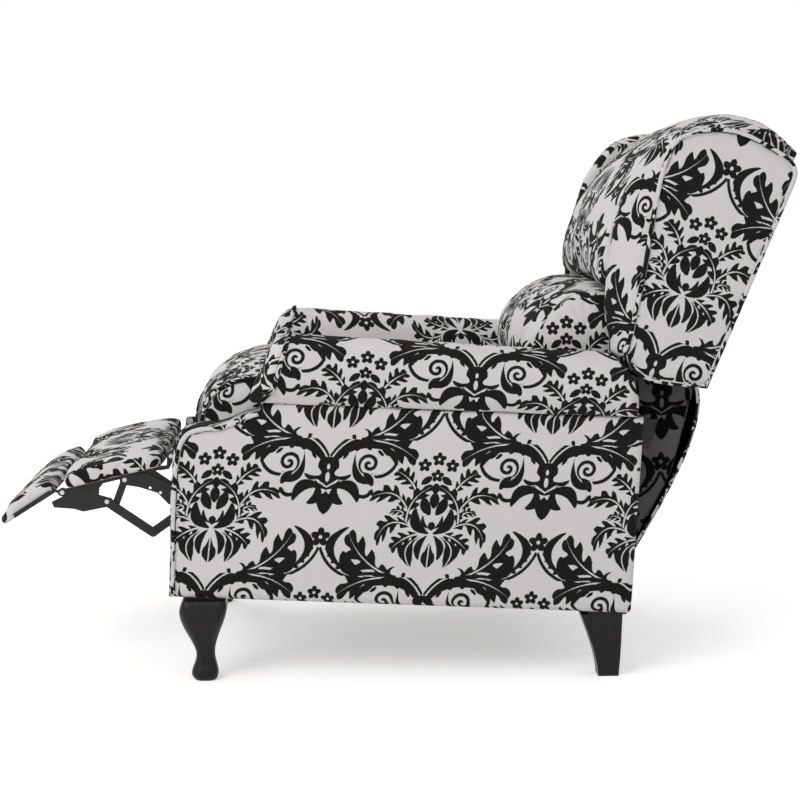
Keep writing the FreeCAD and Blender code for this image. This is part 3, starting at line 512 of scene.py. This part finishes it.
def drawn_line(points, count, closed=True):
    """A smooth line through 2-D points in equal steps. A point given twice is a corner."""
    total = len(points)
    fine = []
    spans = total if closed else total - 1

    def pick(i):
        if closed:
            return Vector(points[i % total])
        return Vector(points[max(0, min(total - 1, i))])
    for i in range(spans):
        before, here, there, after = pick(i - 1), pick(i), pick(i + 1), pick(i + 2)
        if (there - here).length < 1e-6:
            continue
        for step in range(24):
            t = step / 24
            fine.append(0.5 * (2 * here + (there - before) * t
                               + (2 * before - 5 * here + 4 * there - after) * t * t
                               + (3 * here - before - 3 * there + after) * t ** 3))
    fine.append(pick(0) if closed else pick(total - 1))
    reach = [0.0]
    for a, b in zip(fine, fine[1:]):
        reach.append(reach[-1] + (b - a).length)
    steps = count if closed else count - 1
    line = []
    spot = 0
    for k in range(count):
        goal = reach[-1] * k / steps
        while spot < len(reach) - 2 and reach[spot + 1] < goal:
            spot += 1
        span = max(reach[spot + 1] - reach[spot], 1e-9)
        line.append(fine[spot].lerp(fine[spot + 1], min(1.0, (goal - reach[spot]) / span)))
    return line


def drawn_in(line, amount):
    """A closed 2-D line moved inwards by amount. Points that would cross at a corner meet."""
    total = len(line)
    area = sum(line[i].cross(line[(i + 1) % total]) for i in range(total))
    side = 1.0 if area > 0 else -1.0
    moved = []
    for i, point in enumerate(line):
        run = (line[(i + 1) % total] - line[i - 1]).normalized()
        moved.append(point + side * amount * Vector((-run.y, run.x)))
    middle = sum(line, Vector((0.0, 0.0))) / total

    def crossed(i):
        k = (i + 1) % total
        turn = (line[i] - middle).cross(line[k] - middle)
        return turn * (moved[i] - middle).cross(moved[k] - middle) < 0
    for reach in (1, 2, 3):
        for i in [i for i in range(total) if crossed(i)]:
            near = [(i + step) % total for step in range(1 - reach, reach + 1)]
            corner = sum((moved[k] for k in near), Vector((0.0, 0.0))) / len(near)
            for k in near:
                moved[k] = corner.copy()
    return moved


def sewn(name, rings, cloth_of, flat_of, caps=(4, 4), domes=(0.0, 0.0), weave=damask):
    """Closed rings of points, skinned. cloth_of(ring, step) and flat_of(point) place the
    weave, in metres, on the sleeve and on the two ends."""
    skin = bmesh.new()
    cut = skin.loops.layers.uv.new("cloth")
    count = len(rings[0])
    grid = [[skin.verts.new(point) for point in ring] for ring in rings]
    for i in range(len(grid) - 1):
        for j in range(count):
            k = (j + 1) % count
            face = skin.faces.new((grid[i][j], grid[i][k], grid[i + 1][k], grid[i + 1][j]))
            for loop, (ring, step) in zip(face.loops, ((i, j), (i, j + 1), (i + 1, j + 1), (i + 1, j))):
                loop[cut].uv = cloth_of(ring, step)
    for end, inner in ((0, 1), (-1, -2)):
        if not caps[end]:
            continue
        middle = sum(rings[end], Vector()) / count
        out = (middle - sum(rings[inner], Vector()) / count).normalized()
        last = grid[end]
        for step in range(1, caps[end] + 1):
            share = 1 - step / (caps[end] + 1)
            rise = out * domes[end] * (1 - share ** 2)
            ring = [skin.verts.new(middle + (point - middle) * share + rise) for point in rings[end]]
            for j in range(count):
                k = (j + 1) % count
                face = skin.faces.new((last[j], last[k], ring[k], ring[j]))
                for loop in face.loops:
                    loop[cut].uv = flat_of(loop.vert.co)
            last = ring
        centre = skin.verts.new(middle + out * domes[end])
        for j in range(count):
            face = skin.faces.new((last[j], last[(j + 1) % count], centre))
            for loop in face.loops:
                loop[cut].uv = flat_of(loop.vert.co)
    bmesh.ops.remove_doubles(skin, verts=skin.verts, dist=0.00001)
    bmesh.ops.recalc_face_normals(skin, faces=skin.faces)
    return made_up(name, skin, weave)


def made_up(name, skin, weave):
    mesh = bpy.data.meshes.new(name)
    skin.to_mesh(mesh)
    skin.free()
    for face in mesh.polygons:
        face.use_smooth = True
    mesh.materials.append(weave)
    piece = bpy.data.objects.new(name, mesh)
    scene.collection.objects.link(piece)
    return piece


def fixed(piece, body, slot, *nodes, fill=None):
    """The piece rides on a body and stands for CAD nodes. fill, how full a stuffed piece is, is not used."""
    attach(piece, body)
    if nodes:
        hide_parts(*nodes)


def mirrored(piece, name):
    """The right-hand twin of a left-hand piece."""
    mesh = piece.data.copy()
    for vertex in mesh.vertices:
        vertex.co.x = -vertex.co.x
    mesh.flip_normals()
    twin = bpy.data.objects.new(name, mesh)
    scene.collection.objects.link(twin)
    for modifier in piece.modifiers:
        copied = twin.modifiers.new(modifier.name, modifier.type)
        copied.levels = modifier.levels
        copied.render_levels = modifier.render_levels
    return twin


def tube(name, path, radius, weave, closed=False, around=10, start=0.0):
    """A piped edge along a path of points."""
    count = len(path)
    rings = []
    reach = [0.0]
    for a, b in zip(path, path[1:]):
        reach.append(reach[-1] + (b - a).length)
    side = None
    for i, point in enumerate(path):
        ahead = path[(i + 1) % count] if closed or i < count - 1 else point
        behind = path[i - 1] if closed or i else point
        run = (ahead - behind).normalized()
        if side is None:
            side = run.orthogonal()
        side = (side - run * side.dot(run)).normalized()
        up = run.cross(side)
        thick = radius * (1 + 0.05 * math.sin(reach[i] * 190))
        rings.append([point + thick * (side * math.cos(2 * math.pi * k / around)
                                       + up * math.sin(2 * math.pi * k / around))
                      for k in range(around)])
    if closed:
        rings.append(rings[0])
        reach.append(reach[-1] + (path[0] - path[-1]).length)
    girth = 2 * math.pi * radius

    def cloth_of(ring, step):
        along = 0.7 * reach[ring]
        over = girth * step / around
        return (start + along + over, 0.31 + along - over)
    caps = (0, 0) if closed else (1, 1)
    return sewn(name, rings, cloth_of, lambda p: (p.y, p.z), caps=caps, weave=weave)


PANEL_EDGE = [
    (0.009, 0.153), (0.009, 0.153), (0.820, 0.116), (0.820, 0.116), (0.838, 0.464), (0.838, 0.464),
    (0.500, 0.480), (0.200, 0.494), (0.172, 0.480), (0.145, 0.473), (0.107, 0.457), (0.066, 0.453),
    (0.036, 0.444), (0.020, 0.400), (0.013, 0.290), (0.011, 0.200),
]
PANEL_ROUND = 0.012
PANEL_SLIDE = (0.467, 0.279)       # a flower's heart on the panel
WEAVE_RAKE = 0.12                  # how far the weave was pulled askew when it was stapled
WEAVE_DIP = 0.035


def panel_cloth(point):
    """The weave as it is stapled on the sides, leaning a little towards the back."""
    over = point.y - FRONT_EDGE - PANEL_SLIDE[0]
    up = point.z - PANEL_SLIDE[1]
    return (over - math.tan(WEAVE_RAKE) * up, up + math.tan(WEAVE_DIP) * over)


panel_line = drawn_line(PANEL_EDGE, 220)
panel_rings = []
for share in (0.0, 0.5, 0.75, 0.86, 0.93, 0.975, 1.0):
    x = PANEL_IN + 0.002 + (PANEL_OUT - PANEL_IN - 0.002) * share
    bend = max(0.0, (x - (PANEL_OUT - PANEL_ROUND)) / PANEL_ROUND)
    inset = PANEL_ROUND * (1 - math.sqrt(max(0.0, 1 - bend * bend)))
    panel_rings.append([chair_point(x, p.x, p.y) for p in drawn_in(panel_line, inset)])


def panel_wrap(ring, step):
    point = panel_rings[ring][step % len(panel_line)]
    across, up = panel_cloth(point)
    return (across - (PANEL_OUT - point.x), up)


panel_left = sewn("side_cover_left", panel_rings, panel_wrap, panel_cloth, caps=(4, 14),
                  domes=(0.0, 0.0025))
fixed(panel_left, "base", "damask_fabric", "side_panel_left", fill=0.9)
panel_right = mirrored(panel_left, "side_cover_right")
fixed(panel_right, "base", "damask_fabric", "side_panel_right", fill=0.9)

PANEL_WELT_R = 0.0042
welt_edge = drawn_line([(0.017, 0.160), (0.018, 0.200), (0.020, 0.290), (0.027, 0.392), (0.041, 0.434),
                        (0.066, 0.447), (0.107, 0.451), (0.145, 0.467), (0.168, 0.474)], 90, closed=False)
panel_welt_left = tube("side_welt_left", [chair_point(PANEL_OUT + 0.0005, p.x, p.y) for p in welt_edge],
                       PANEL_WELT_R, damask, start=0.05)
fixed(panel_welt_left, "base", "welt_fabric")
panel_welt_right = mirrored(panel_welt_left, "side_welt_right")
fixed(panel_welt_right, "base", "welt_fabric")


# Arms: rolls of wadding round a softwood rail, covered in one wrap of damask that is
# drawn forward to the facing. The facing is a padded board set in a ring of welt.
ARM_FRONT = [(0.470, 0.143), (0.478, 0.156), (0.502, 0.178), (0.517, 0.194), (0.548, 0.203), (0.580, 0.213),
             (0.615, 0.223)]
ARM_REAR = [(0.440, 0.828), (0.500, 0.824), (0.540, 0.812), (0.556, 0.801), (0.579, 0.774), (0.640, 0.766)]
ARM_SLIDE = (0.345, -0.022)        # a flower's heart on the arm, from its outer seam


def read_off(table, value):
    """A value read off a table of (place, value), straight between its rows."""
    if value <= table[0][0]:
        return table[0][1]
    for (low, first), (high, second) in zip(table, table[1:]):
        if value <= high:
            return first + (second - first) * (value - low) / (high - low)
    return table[-1][1]


def arm_ring(share, swell=0.0):
    """The roll's section, its front end raked back to the welt and its rear to the nose."""
    depth = 0.20 + 0.60 * share
    top = 0.611 - 0.058 * (depth - 0.2) + swell
    low = 0.494 - 0.047 * (depth - 0.2) - swell
    tall = top - low
    section = drawn_line([
        (0.336 + swell, low), (0.336 + swell, low), (0.3475 + swell, low + 0.2 * tall),
        (0.350 + swell, low + 0.52 * tall), (0.3425 + swell, low + 0.80 * tall), (0.328, top - 0.007),
        (0.307, top), (0.282, top - 0.007), (0.264 - swell, low + 0.78 * tall),
        (0.2575 - swell, low + 0.5 * tall), (0.260 - swell, low + 0.2 * tall), (0.268 - swell, low),
        (0.268 - swell, low)], 96)
    ring = []
    for p in section:
        front = read_off(ARM_FRONT, p.y)
        rear = read_off(ARM_REAR, p.y)
        ring.append(chair_point(p.x, front + (rear - front) * share, p.y))
    return ring


def girth_of(ring):
    reach = [0.0]
    for i in range(len(ring)):
        reach.append(reach[-1] + (ring[(i + 1) % len(ring)] - ring[i]).length)
    return reach


arm_rings = [arm_ring(i / 40) for i in range(41)]
for i, ring in enumerate(arm_rings):
    for j, point in enumerate(ring):
        slack = 0.0011 * math.sin(i * 0.9 + j * 0.13) * math.sin(j * 0.21 + i * 0.17)
        ring[j] = point + Vector((slack, 0.0, slack))
arm_girth = girth_of(arm_rings[20])


def arm_wrap(ring, step):
    depth = arm_rings[ring][step % 96].y - FRONT_EDGE
    over = depth - ARM_SLIDE[0]
    return (over - 0.12 * arm_girth[step], arm_girth[step] - ARM_SLIDE[1] + 0.03 * over)


def facing_cloth(point):
    return (point.x - 0.305, point.z - 0.50)


arm_left = sewn("arm_cover_left", arm_rings, arm_wrap, facing_cloth, caps=(0, 5), domes=(0.0, 0.006))
fixed(arm_left, "base", "damask_fabric", "arm_pad_left", fill=0.8)
arm_right = mirrored(arm_left, "arm_cover_right")
fixed(arm_right, "base", "damask_fabric", "arm_pad_right", fill=0.8)

facing_rings = []
for inset, forward in ((0.0, -0.004), (0.0005, 0.004), (0.004, 0.015), (0.010, 0.0225)):
    ring = arm_ring(0.0)
    middle = sum(ring, Vector()) / len(ring)
    facing_rings.append([p + (middle - p).normalized() * inset + Vector((0.0, -forward, -0.12 * forward))
                         for p in ring])


def facing_wrap(ring, step):
    return facing_cloth(facing_rings[ring][step % 96])


facing_left = sewn("arm_facing_cover_left", facing_rings, facing_wrap, facing_cloth, caps=(0, 8),
                   domes=(0.0, 0.007))
fixed(facing_left, "base", "damask_fabric", "arm_facing_left", fill=0.8)
facing_right = mirrored(facing_left, "arm_facing_cover_right")
fixed(facing_right, "base", "damask_fabric", "arm_facing_right", fill=0.8)
arm_welt_left = tube("arm_welt_left", arm_ring(0.0, 0.0012), 0.0042, damask, closed=True)
fixed(arm_welt_left, "base", "welt_fabric", "arm_welts")
arm_welt_right = mirrored(arm_welt_left, "arm_welt_right")
fixed(arm_welt_right, "base", "welt_fabric", "arm_welts")


# Wings: plywood ears padded all round. The front edge is a fat roll that swells forward
# of the outside panel, and a welt runs round the outside panel's edge.
BACK_TILT = math.radians(22.3)
BACK_CORNER = (0.946, 0.515)
WING_OUT = 0.330
WING_EDGE = [
    (0.797, 0.578), (0.797, 0.578), (0.808, 0.604), (0.816, 0.644), (0.825, 0.688), (0.833, 0.732),
    (0.840, 0.780), (0.849, 0.835), (0.858, 0.880), (0.870, 0.918), (0.888, 0.946), (0.923, 0.959),
    (0.960, 0.962),
    (1.003, 0.954), (1.050, 0.931), (1.083, 0.909), (1.094, 0.890), (1.092, 0.872), (1.092, 0.872),
    (0.946, 0.515), (0.946, 0.515), (0.884, 0.521), (0.839, 0.531), (0.812, 0.553),
]
WING_SWELL = [(0.53, 0.004), (0.575, 0.018), (0.62, 0.040), (0.70, 0.054), (0.80, 0.056), (0.87, 0.046),
              (0.92, 0.028), (0.96, 0.008)]
WING_HEART = (0.906, 0.693)        # the middle of the pattern on the wing


def back_point(x, up, forward):
    """up along the outside back from its lower corner, forward square to it."""
    return chair_point(x, BACK_CORNER[0] + up * math.sin(BACK_TILT) - forward * math.cos(BACK_TILT),
                       BACK_CORNER[1] + up * math.cos(BACK_TILT) + forward * math.sin(BACK_TILT))


def on_back(point):
    """How far up the outside back a point lies, and how far forward of it."""
    over = point.y - FRONT_EDGE - BACK_CORNER[0]
    rise = point.z - BACK_CORNER[1]
    up = over * math.sin(BACK_TILT) + rise * math.cos(BACK_TILT)
    forward = rise * math.sin(BACK_TILT) - over * math.cos(BACK_TILT)
    return up, forward


def wing_cloth(point):
    over = point.y - FRONT_EDGE - WING_HEART[0]
    up = point.z - WING_HEART[1]
    lean = BACK_TILT - 0.03
    return (over * math.cos(lean) - up * math.sin(lean), over * math.sin(lean) + up * math.cos(lean))


wing_line = drawn_line(WING_EDGE, 200)
wing_rings = []
for x, swell, inset in ((0.262, 0.86, 0.012), (0.266, 0.95, 0.005), (0.273, 1.0, 0.001),
                        (0.284, 0.98, 0.0), (0.296, 0.86, -0.001), (0.308, 0.62, -0.001),
                        (0.318, 0.34, 0.0), (0.325, 0.14, 0.001), (WING_OUT, 0.0, 0.004)):
    ring = []
    for p in drawn_in(wing_line, inset):
        front = max(0.0, min(1.0, (0.93 - (p.x - 0.42 * (p.y - 0.75))) / 0.07))
        ring.append(chair_point(x, p.x - swell * front * read_off(WING_SWELL, p.y), p.y))
    wing_rings.append(ring)


def wing_wrap(ring, step):
    point = wing_rings[ring][step % 200]
    across, up = wing_cloth(point)
    return (across - 0.8 * (WING_OUT - point.x), up)


wing_left = sewn("wing_cover_left", wing_rings, wing_wrap, wing_cloth, caps=(12, 12),
                 domes=(-0.004, 0.003))
fixed(wing_left, "back", "damask_fabric", "wing_left", fill=0.85)
wing_right = mirrored(wing_left, "wing_cover_right")
fixed(wing_right, "back", "damask_fabric", "wing_right", fill=0.85)
wing_seam = [chair_point(WING_OUT + 0.0005, p.x, p.y) for p in drawn_in(wing_line, 0.003)]
wing_welt_left = tube("wing_welt_left", wing_seam, 0.0042, damask, closed=True)
fixed(wing_welt_left, "back", "welt_fabric", "wing_welts")
wing_welt_right = mirrored(wing_welt_left, "wing_welt_right")
fixed(wing_welt_right, "back", "welt_fabric", "wing_welts")


# Outside back and tail: damask pulled flat over a board between the wings, and below it
# a curved panel that closes the back down to the chair's rear rail.
SKIN_HALF = 0.2615
BACK_HEART = 0.205                 # the middle of the pattern, up from the lower edge


def back_cloth(point):
    return (point.x, on_back(point)[0] - BACK_HEART)


skin_line = drawn_line([(-SKIN_HALF, 0.0), (-SKIN_HALF, 0.0), (SKIN_HALF, 0.0), (SKIN_HALF, 0.0),
                        (SKIN_HALF, 0.439), (SKIN_HALF, 0.439), (0.14, 0.461), (0.0, 0.468), (-0.14, 0.461),
                        (-SKIN_HALF, 0.439), (-SKIN_HALF, 0.439)], 160)
skin_rings = [[back_point(p.x, p.y, deep) for p in drawn_in(skin_line, inset)]
              for deep, inset in ((0.012, 0.0), (0.005, 0.0), (0.002, 0.001), (0.0, 0.004))]


def skin_wrap(ring, step):
    return back_cloth(skin_rings[ring][step % 160])


outside_back = sewn("outside_back_cover", skin_rings, skin_wrap, back_cloth, caps=(3, 14), domes=(0.0, 0.003))
fixed(outside_back, "back", "damask_fabric", "outside_back", fill=0.9)

TAIL_HALF = 0.250
tail_outer = drawn_line([(0.9487, 0.5116), (0.952, 0.470), (0.939, 0.410), (0.912, 0.346), (0.877, 0.278),
                         (0.833, 0.202)], 40, closed=False)
tail_side = []
for i, point in enumerate(tail_outer):
    run = (tail_outer[min(i + 1, 39)] - tail_outer[max(i - 1, 0)]).normalized()
    tail_side.append(point + Vector((run.y, -run.x)) * 0.012)
tail_profile = list(tail_outer) + tail_side[::-1]
tail_girth = [0.0]
for a, b in zip(tail_profile, tail_profile[1:] + tail_profile[:1]):
    tail_girth.append(tail_girth[-1] + (b - a).length)
tail_rings = []
for x, inset in ((-TAIL_HALF, 0.004), (-TAIL_HALF + 0.003, 0.001), (-0.15, 0.0), (0.0, 0.0), (0.15, 0.0),
                 (TAIL_HALF - 0.003, 0.001), (TAIL_HALF, 0.004)):
    tail_rings.append([chair_point(x, p.x, p.y) for p in drawn_in(tail_profile, inset)])


def tail_wrap(ring, step):
    return (tail_rings[ring][0].x, -BACK_HEART - tail_girth[step])


tail = sewn("tail_cover", tail_rings, tail_wrap, panel_cloth, caps=(1, 1))
fixed(tail, "back", "damask_fabric", "tail_panel", fill=0.9)


# Seat cushion: a foam block in a damask cover, boxed at the sides with a welt along each
# seam, its front rolled over the seat's front rail. It sits loose on the springs.
def stuffed(piece, held, limit, press=4.0, slack=0.012, steps=18):
    """The filling blows the cover out. Held points are its seams and where it rests."""
    pinned = piece.vertex_groups.new(name="held")
    pinned.add(held, 1.0, "REPLACE")
    cloth = piece.modifiers.new("cover", "CLOTH")
    cover = cloth.settings
    cover.quality = 5
    cover.mass = 0.3
    cover.tension_stiffness = 12.0
    cover.compression_stiffness = 12.0
    cover.shear_stiffness = 4.0
    cover.bending_stiffness = 0.6
    cover.vertex_group_mass = "held"
    cover.use_pressure = True
    cover.uniform_pressure_force = press
    cover.shrink_min = -slack
    cover.effector_weights.gravity = 0.0
    cloth.collision_settings.use_collision = False
    cloth.point_cache.frame_start = 1
    cloth.point_cache.frame_end = steps
    for moment in range(1, steps + 1):
        scene.frame_set(moment)
    settled = piece.evaluated_get(bpy.context.evaluated_depsgraph_get())
    places = [vertex.co.copy() for vertex in settled.data.vertices]
    piece.modifiers.remove(cloth)
    piece.vertex_groups.remove(pinned)
    for vertex, place in zip(piece.data.vertices, places):
        shift = place - vertex.co
        if shift.length > limit:
            shift *= limit / shift.length
        vertex.co = vertex.co + shift
    scene.frame_set(1)
    softened = piece.modifiers.new("soft", "SUBSURF")
    softened.levels = 1
    softened.render_levels = 1


def end_seams(piece, half):
    """The points of a cushion's two outermost rings, where its ends are sewn in."""
    return [vertex.index for vertex in piece.data.vertices if abs(abs(vertex.co.x) - half) < 0.00005]


def sleeve(name, line, half, shares, middle, cloth_of_end, weave_from, caps=(7, 7), dome=0.004):
    """A cushion whose side line is drawn in towards its middle at both ends."""
    rings = []
    for x, share in shares:
        rings.append([chair_point(x * half, middle[0] + (p.x - middle[0]) * share,
                                  middle[1] + (p.y - middle[1]) * share) for p in line])
    girth = girth_of(rings[len(rings) // 2])

    def cloth_of(ring, step):
        return (rings[ring][0].x, girth[step] - weave_from)
    return sewn(name, rings, cloth_of, cloth_of_end, caps=caps, domes=(dome, dome)), rings


def even_shares(count, ends, power):
    """Places across a cushion from -1 to 1, and how far its line is drawn in there."""
    table = []
    for i in range(count):
        place = -1 + 2 * i / (count - 1)
        place = math.sin(place * math.pi / 2) * 0.35 + place * 0.65
        table.append((place, 1 - (1 - ends) * abs(place) ** power))
    return table


SEAT_HALF = 0.2485
SEAT_MIDDLE = (0.360, 0.400)
SEAT_FOOT = (0.074, 0.4035)        # the front end of the flat underside
SEAT_FALL = 0.033                  # how steeply the underside falls from there
SEAT_SEAM_FROM = 0.41              # the welts end here, down beside the springs
seat_line = drawn_line([
    (0.652, 0.3845), (0.652, 0.3845), SEAT_FOOT, SEAT_FOOT, (0.054, 0.425), (0.050, 0.450),
    (0.053, 0.475), (0.066, 0.500), (0.090, 0.518), (0.125, 0.530), (0.180, 0.534), (0.300, 0.530),
    (0.450, 0.516), (0.560, 0.498), (0.635, 0.474), (0.660, 0.440)], 150)
seat_shares = even_shares(41, 0.945, 5.0)


def side_cloth(point):
    return (point.y - FRONT_EDGE - 0.23, point.z - 0.40)


seat, seat_rings = sleeve("seat_cushion_cover", seat_line, SEAT_HALF, seat_shares, SEAT_MIDDLE,
                          side_cloth, 0.93)
resting = [v.index for v in seat.data.vertices
           if v.co.z < SEAT_FOOT[1] - SEAT_FALL * (v.co.y - FRONT_EDGE - SEAT_FOOT[0]) + 0.003]
stuffed(seat, sorted(set(end_seams(seat, SEAT_HALF) + resting)), 0.022)
fixed(seat, "seat", "damask_fabric", "seat_cushion", fill=0.8)
for side, ring in (("left", seat_rings[-1]), ("right", seat_rings[0])):
    shown = [p for p in ring if p.z > SEAT_SEAM_FROM]
    start = max(range(len(shown)), key=lambda i: (shown[i] - shown[i - 1]).length)
    path = shown[start:] + shown[:start]
    seam_welt = tube("seat_welt_" + side, path, 0.004, damask)
    fixed(seam_welt, "seat", "welt_fabric")


# Back cushions: a round bolster of loose fibre at the small of the back, and above it a
# deep padded crown that rolls over the top of the back's frame.
def back_side_line(points):
    """Points given as up the back and forward of it, as depth and height."""
    line = []
    for up, forward in points:
        p = back_point(0.0, up, forward)
        line.append((p.y - FRONT_EDGE, p.z))
    return line


CROWN_HALF = 0.2615
CROWN_SEAT = 0.136                 # what lies behind this rests on the back's frame
CROWN_SEAT_TOP = 0.41
crown_line = drawn_line(back_side_line([
    (0.106, 0.132), (0.106, 0.132), (0.403, 0.132), (0.403, 0.132), (0.403, 0.0125), (0.403, 0.0125),
    (0.458, 0.0125), (0.471, 0.030), (0.475, 0.060), (0.465, 0.098), (0.442, 0.137), (0.406, 0.175),
    (0.362, 0.210), (0.316, 0.238), (0.266, 0.254), (0.210, 0.259), (0.156, 0.257), (0.112, 0.248),
    (0.096, 0.230), (0.099, 0.202), (0.104, 0.165)]), 190)
crown_shares = even_shares(37, 0.945, 3.0)
crown_middle = back_side_line([(0.10, 0.131)])[0]


def crown_end(point):
    return (point.y - FRONT_EDGE - 0.9, point.z - 0.75)


crown = sleeve("crown_cushion_cover", crown_line, CROWN_HALF, crown_shares, crown_middle, crown_end,
               0.86)[0]
behind = []
for vertex in crown.data.vertices:
    up, forward = on_back(vertex.co)
    if forward < CROWN_SEAT and up < CROWN_SEAT_TOP:
        behind.append(vertex.index)
stuffed(crown, sorted(set(behind + end_seams(crown, CROWN_HALF))), 0.013)
fixed(crown, "back", "damask_fabric", "upper_cushion", fill=0.75)

LUMBAR_HALF = 0.2525
LUMBAR_SEAT = 0.137
lumbar_back = back_side_line([(0.094, 0.133), (0.094, 0.133), (-0.042, 0.133), (-0.042, 0.133)])
lumbar_line = drawn_line(lumbar_back + [
    (0.672, 0.500), (0.640, 0.516), (0.622, 0.545), (0.624, 0.585), (0.644, 0.628), (0.682, 0.662),
    (0.730, 0.681), (0.776, 0.686), (0.812, 0.680)], 130)
lumbar_shares = even_shares(37, 0.86, 3.6)
lumbar = sleeve("lumbar_cushion_cover", lumbar_line, LUMBAR_HALF, lumbar_shares, (0.815, 0.596),
                crown_end, 0.40)[0]
behind = [v.index for v in lumbar.data.vertices if on_back(v.co)[1] < LUMBAR_SEAT]
stuffed(lumbar, sorted(set(behind + end_seams(lumbar, LUMBAR_HALF))), 0.014)
fixed(lumbar, "back", "damask_fabric", "lumbar_cushion", fill=0.7)


# Footrest: two foam pads on plywood boards, covered in damask that is tacked under them.
# The front one is hinged to the brackets and folds back under the main pad.
PAD_BACK_LOW = Vector((-0.004, 0.371))
PAD_FRONT_LOW = Vector((-0.175, 0.331))
FLIP_PIVOT = Vector((-0.184, 0.3225))
FLIP_SLOPE = math.radians(33.0)
FLIP_LIFT = 0.0055


def along_pad(share, rise):
    """A point on the main pad's side: share of its length forward, rise above its underside."""
    run = (PAD_FRONT_LOW - PAD_BACK_LOW).normalized()
    return PAD_BACK_LOW.lerp(PAD_FRONT_LOW, share) + Vector((run.y, -run.x)) * rise


def along_flip(forward, rise):
    """The same on the folding pad, whose underside starts near its hinge."""
    run = Vector((-math.cos(FLIP_SLOPE), -math.sin(FLIP_SLOPE)))
    return FLIP_PIVOT + run * forward + Vector((run.y, -run.x)) * (rise + FLIP_LIFT)


def pad_cloth(point):
    return (point.y - FRONT_EDGE, point.z - 0.3)


def footrest_cover(name, points, half, ends, weave_from):
    line = drawn_line(points, 110)
    middle = sum(line, Vector((0.0, 0.0))) / len(line)
    shares = even_shares(33, ends, 6.0)
    cover = sleeve(name, line, half, shares, (middle.x, middle.y), pad_cloth, weave_from,
                   caps=(4, 4), dome=0.002)[0]
    base = Vector(points[0])
    run = (Vector(points[2]) - base).normalized()
    under = [v.index for v in cover.data.vertices
             if abs((Vector((v.co.y - FRONT_EDGE, v.co.z)) - base).cross(run)) < 0.003]
    stuffed(cover, sorted(set(under + end_seams(cover, half))), 0.006, press=3.0)
    return cover


pad_side = ((0.0, 0.0), (0.0, 0.0), (1.0, 0.0), (1.0, 0.0), (1.04, 0.010), (1.02, 0.020),
            (0.92, 0.0265), (0.5, 0.029), (0.1, 0.0245), (-0.01, 0.020), (-0.03, 0.010))
pad = footrest_cover("footrest_cover", [along_pad(*place) for place in pad_side], 0.252, 0.93, 0.33)
fixed(pad, "footrest", "damask_fabric", "footrest_pad", fill=0.8)
flip_side = ((0.009, 0.002), (0.009, 0.002), (0.122, 0.002), (0.122, 0.002), (0.1255, 0.009),
             (0.120, 0.0165), (0.100, 0.022), (0.060, 0.026), (0.018, 0.0255), (0.006, 0.019),
             (0.005, 0.010))
flip = footrest_cover("flip_cover", [along_flip(*place) for place in flip_side], 0.226, 0.93, 0.05)
fixed(flip, "flip_out", "damask_fabric", "flip_pad", fill=0.8)
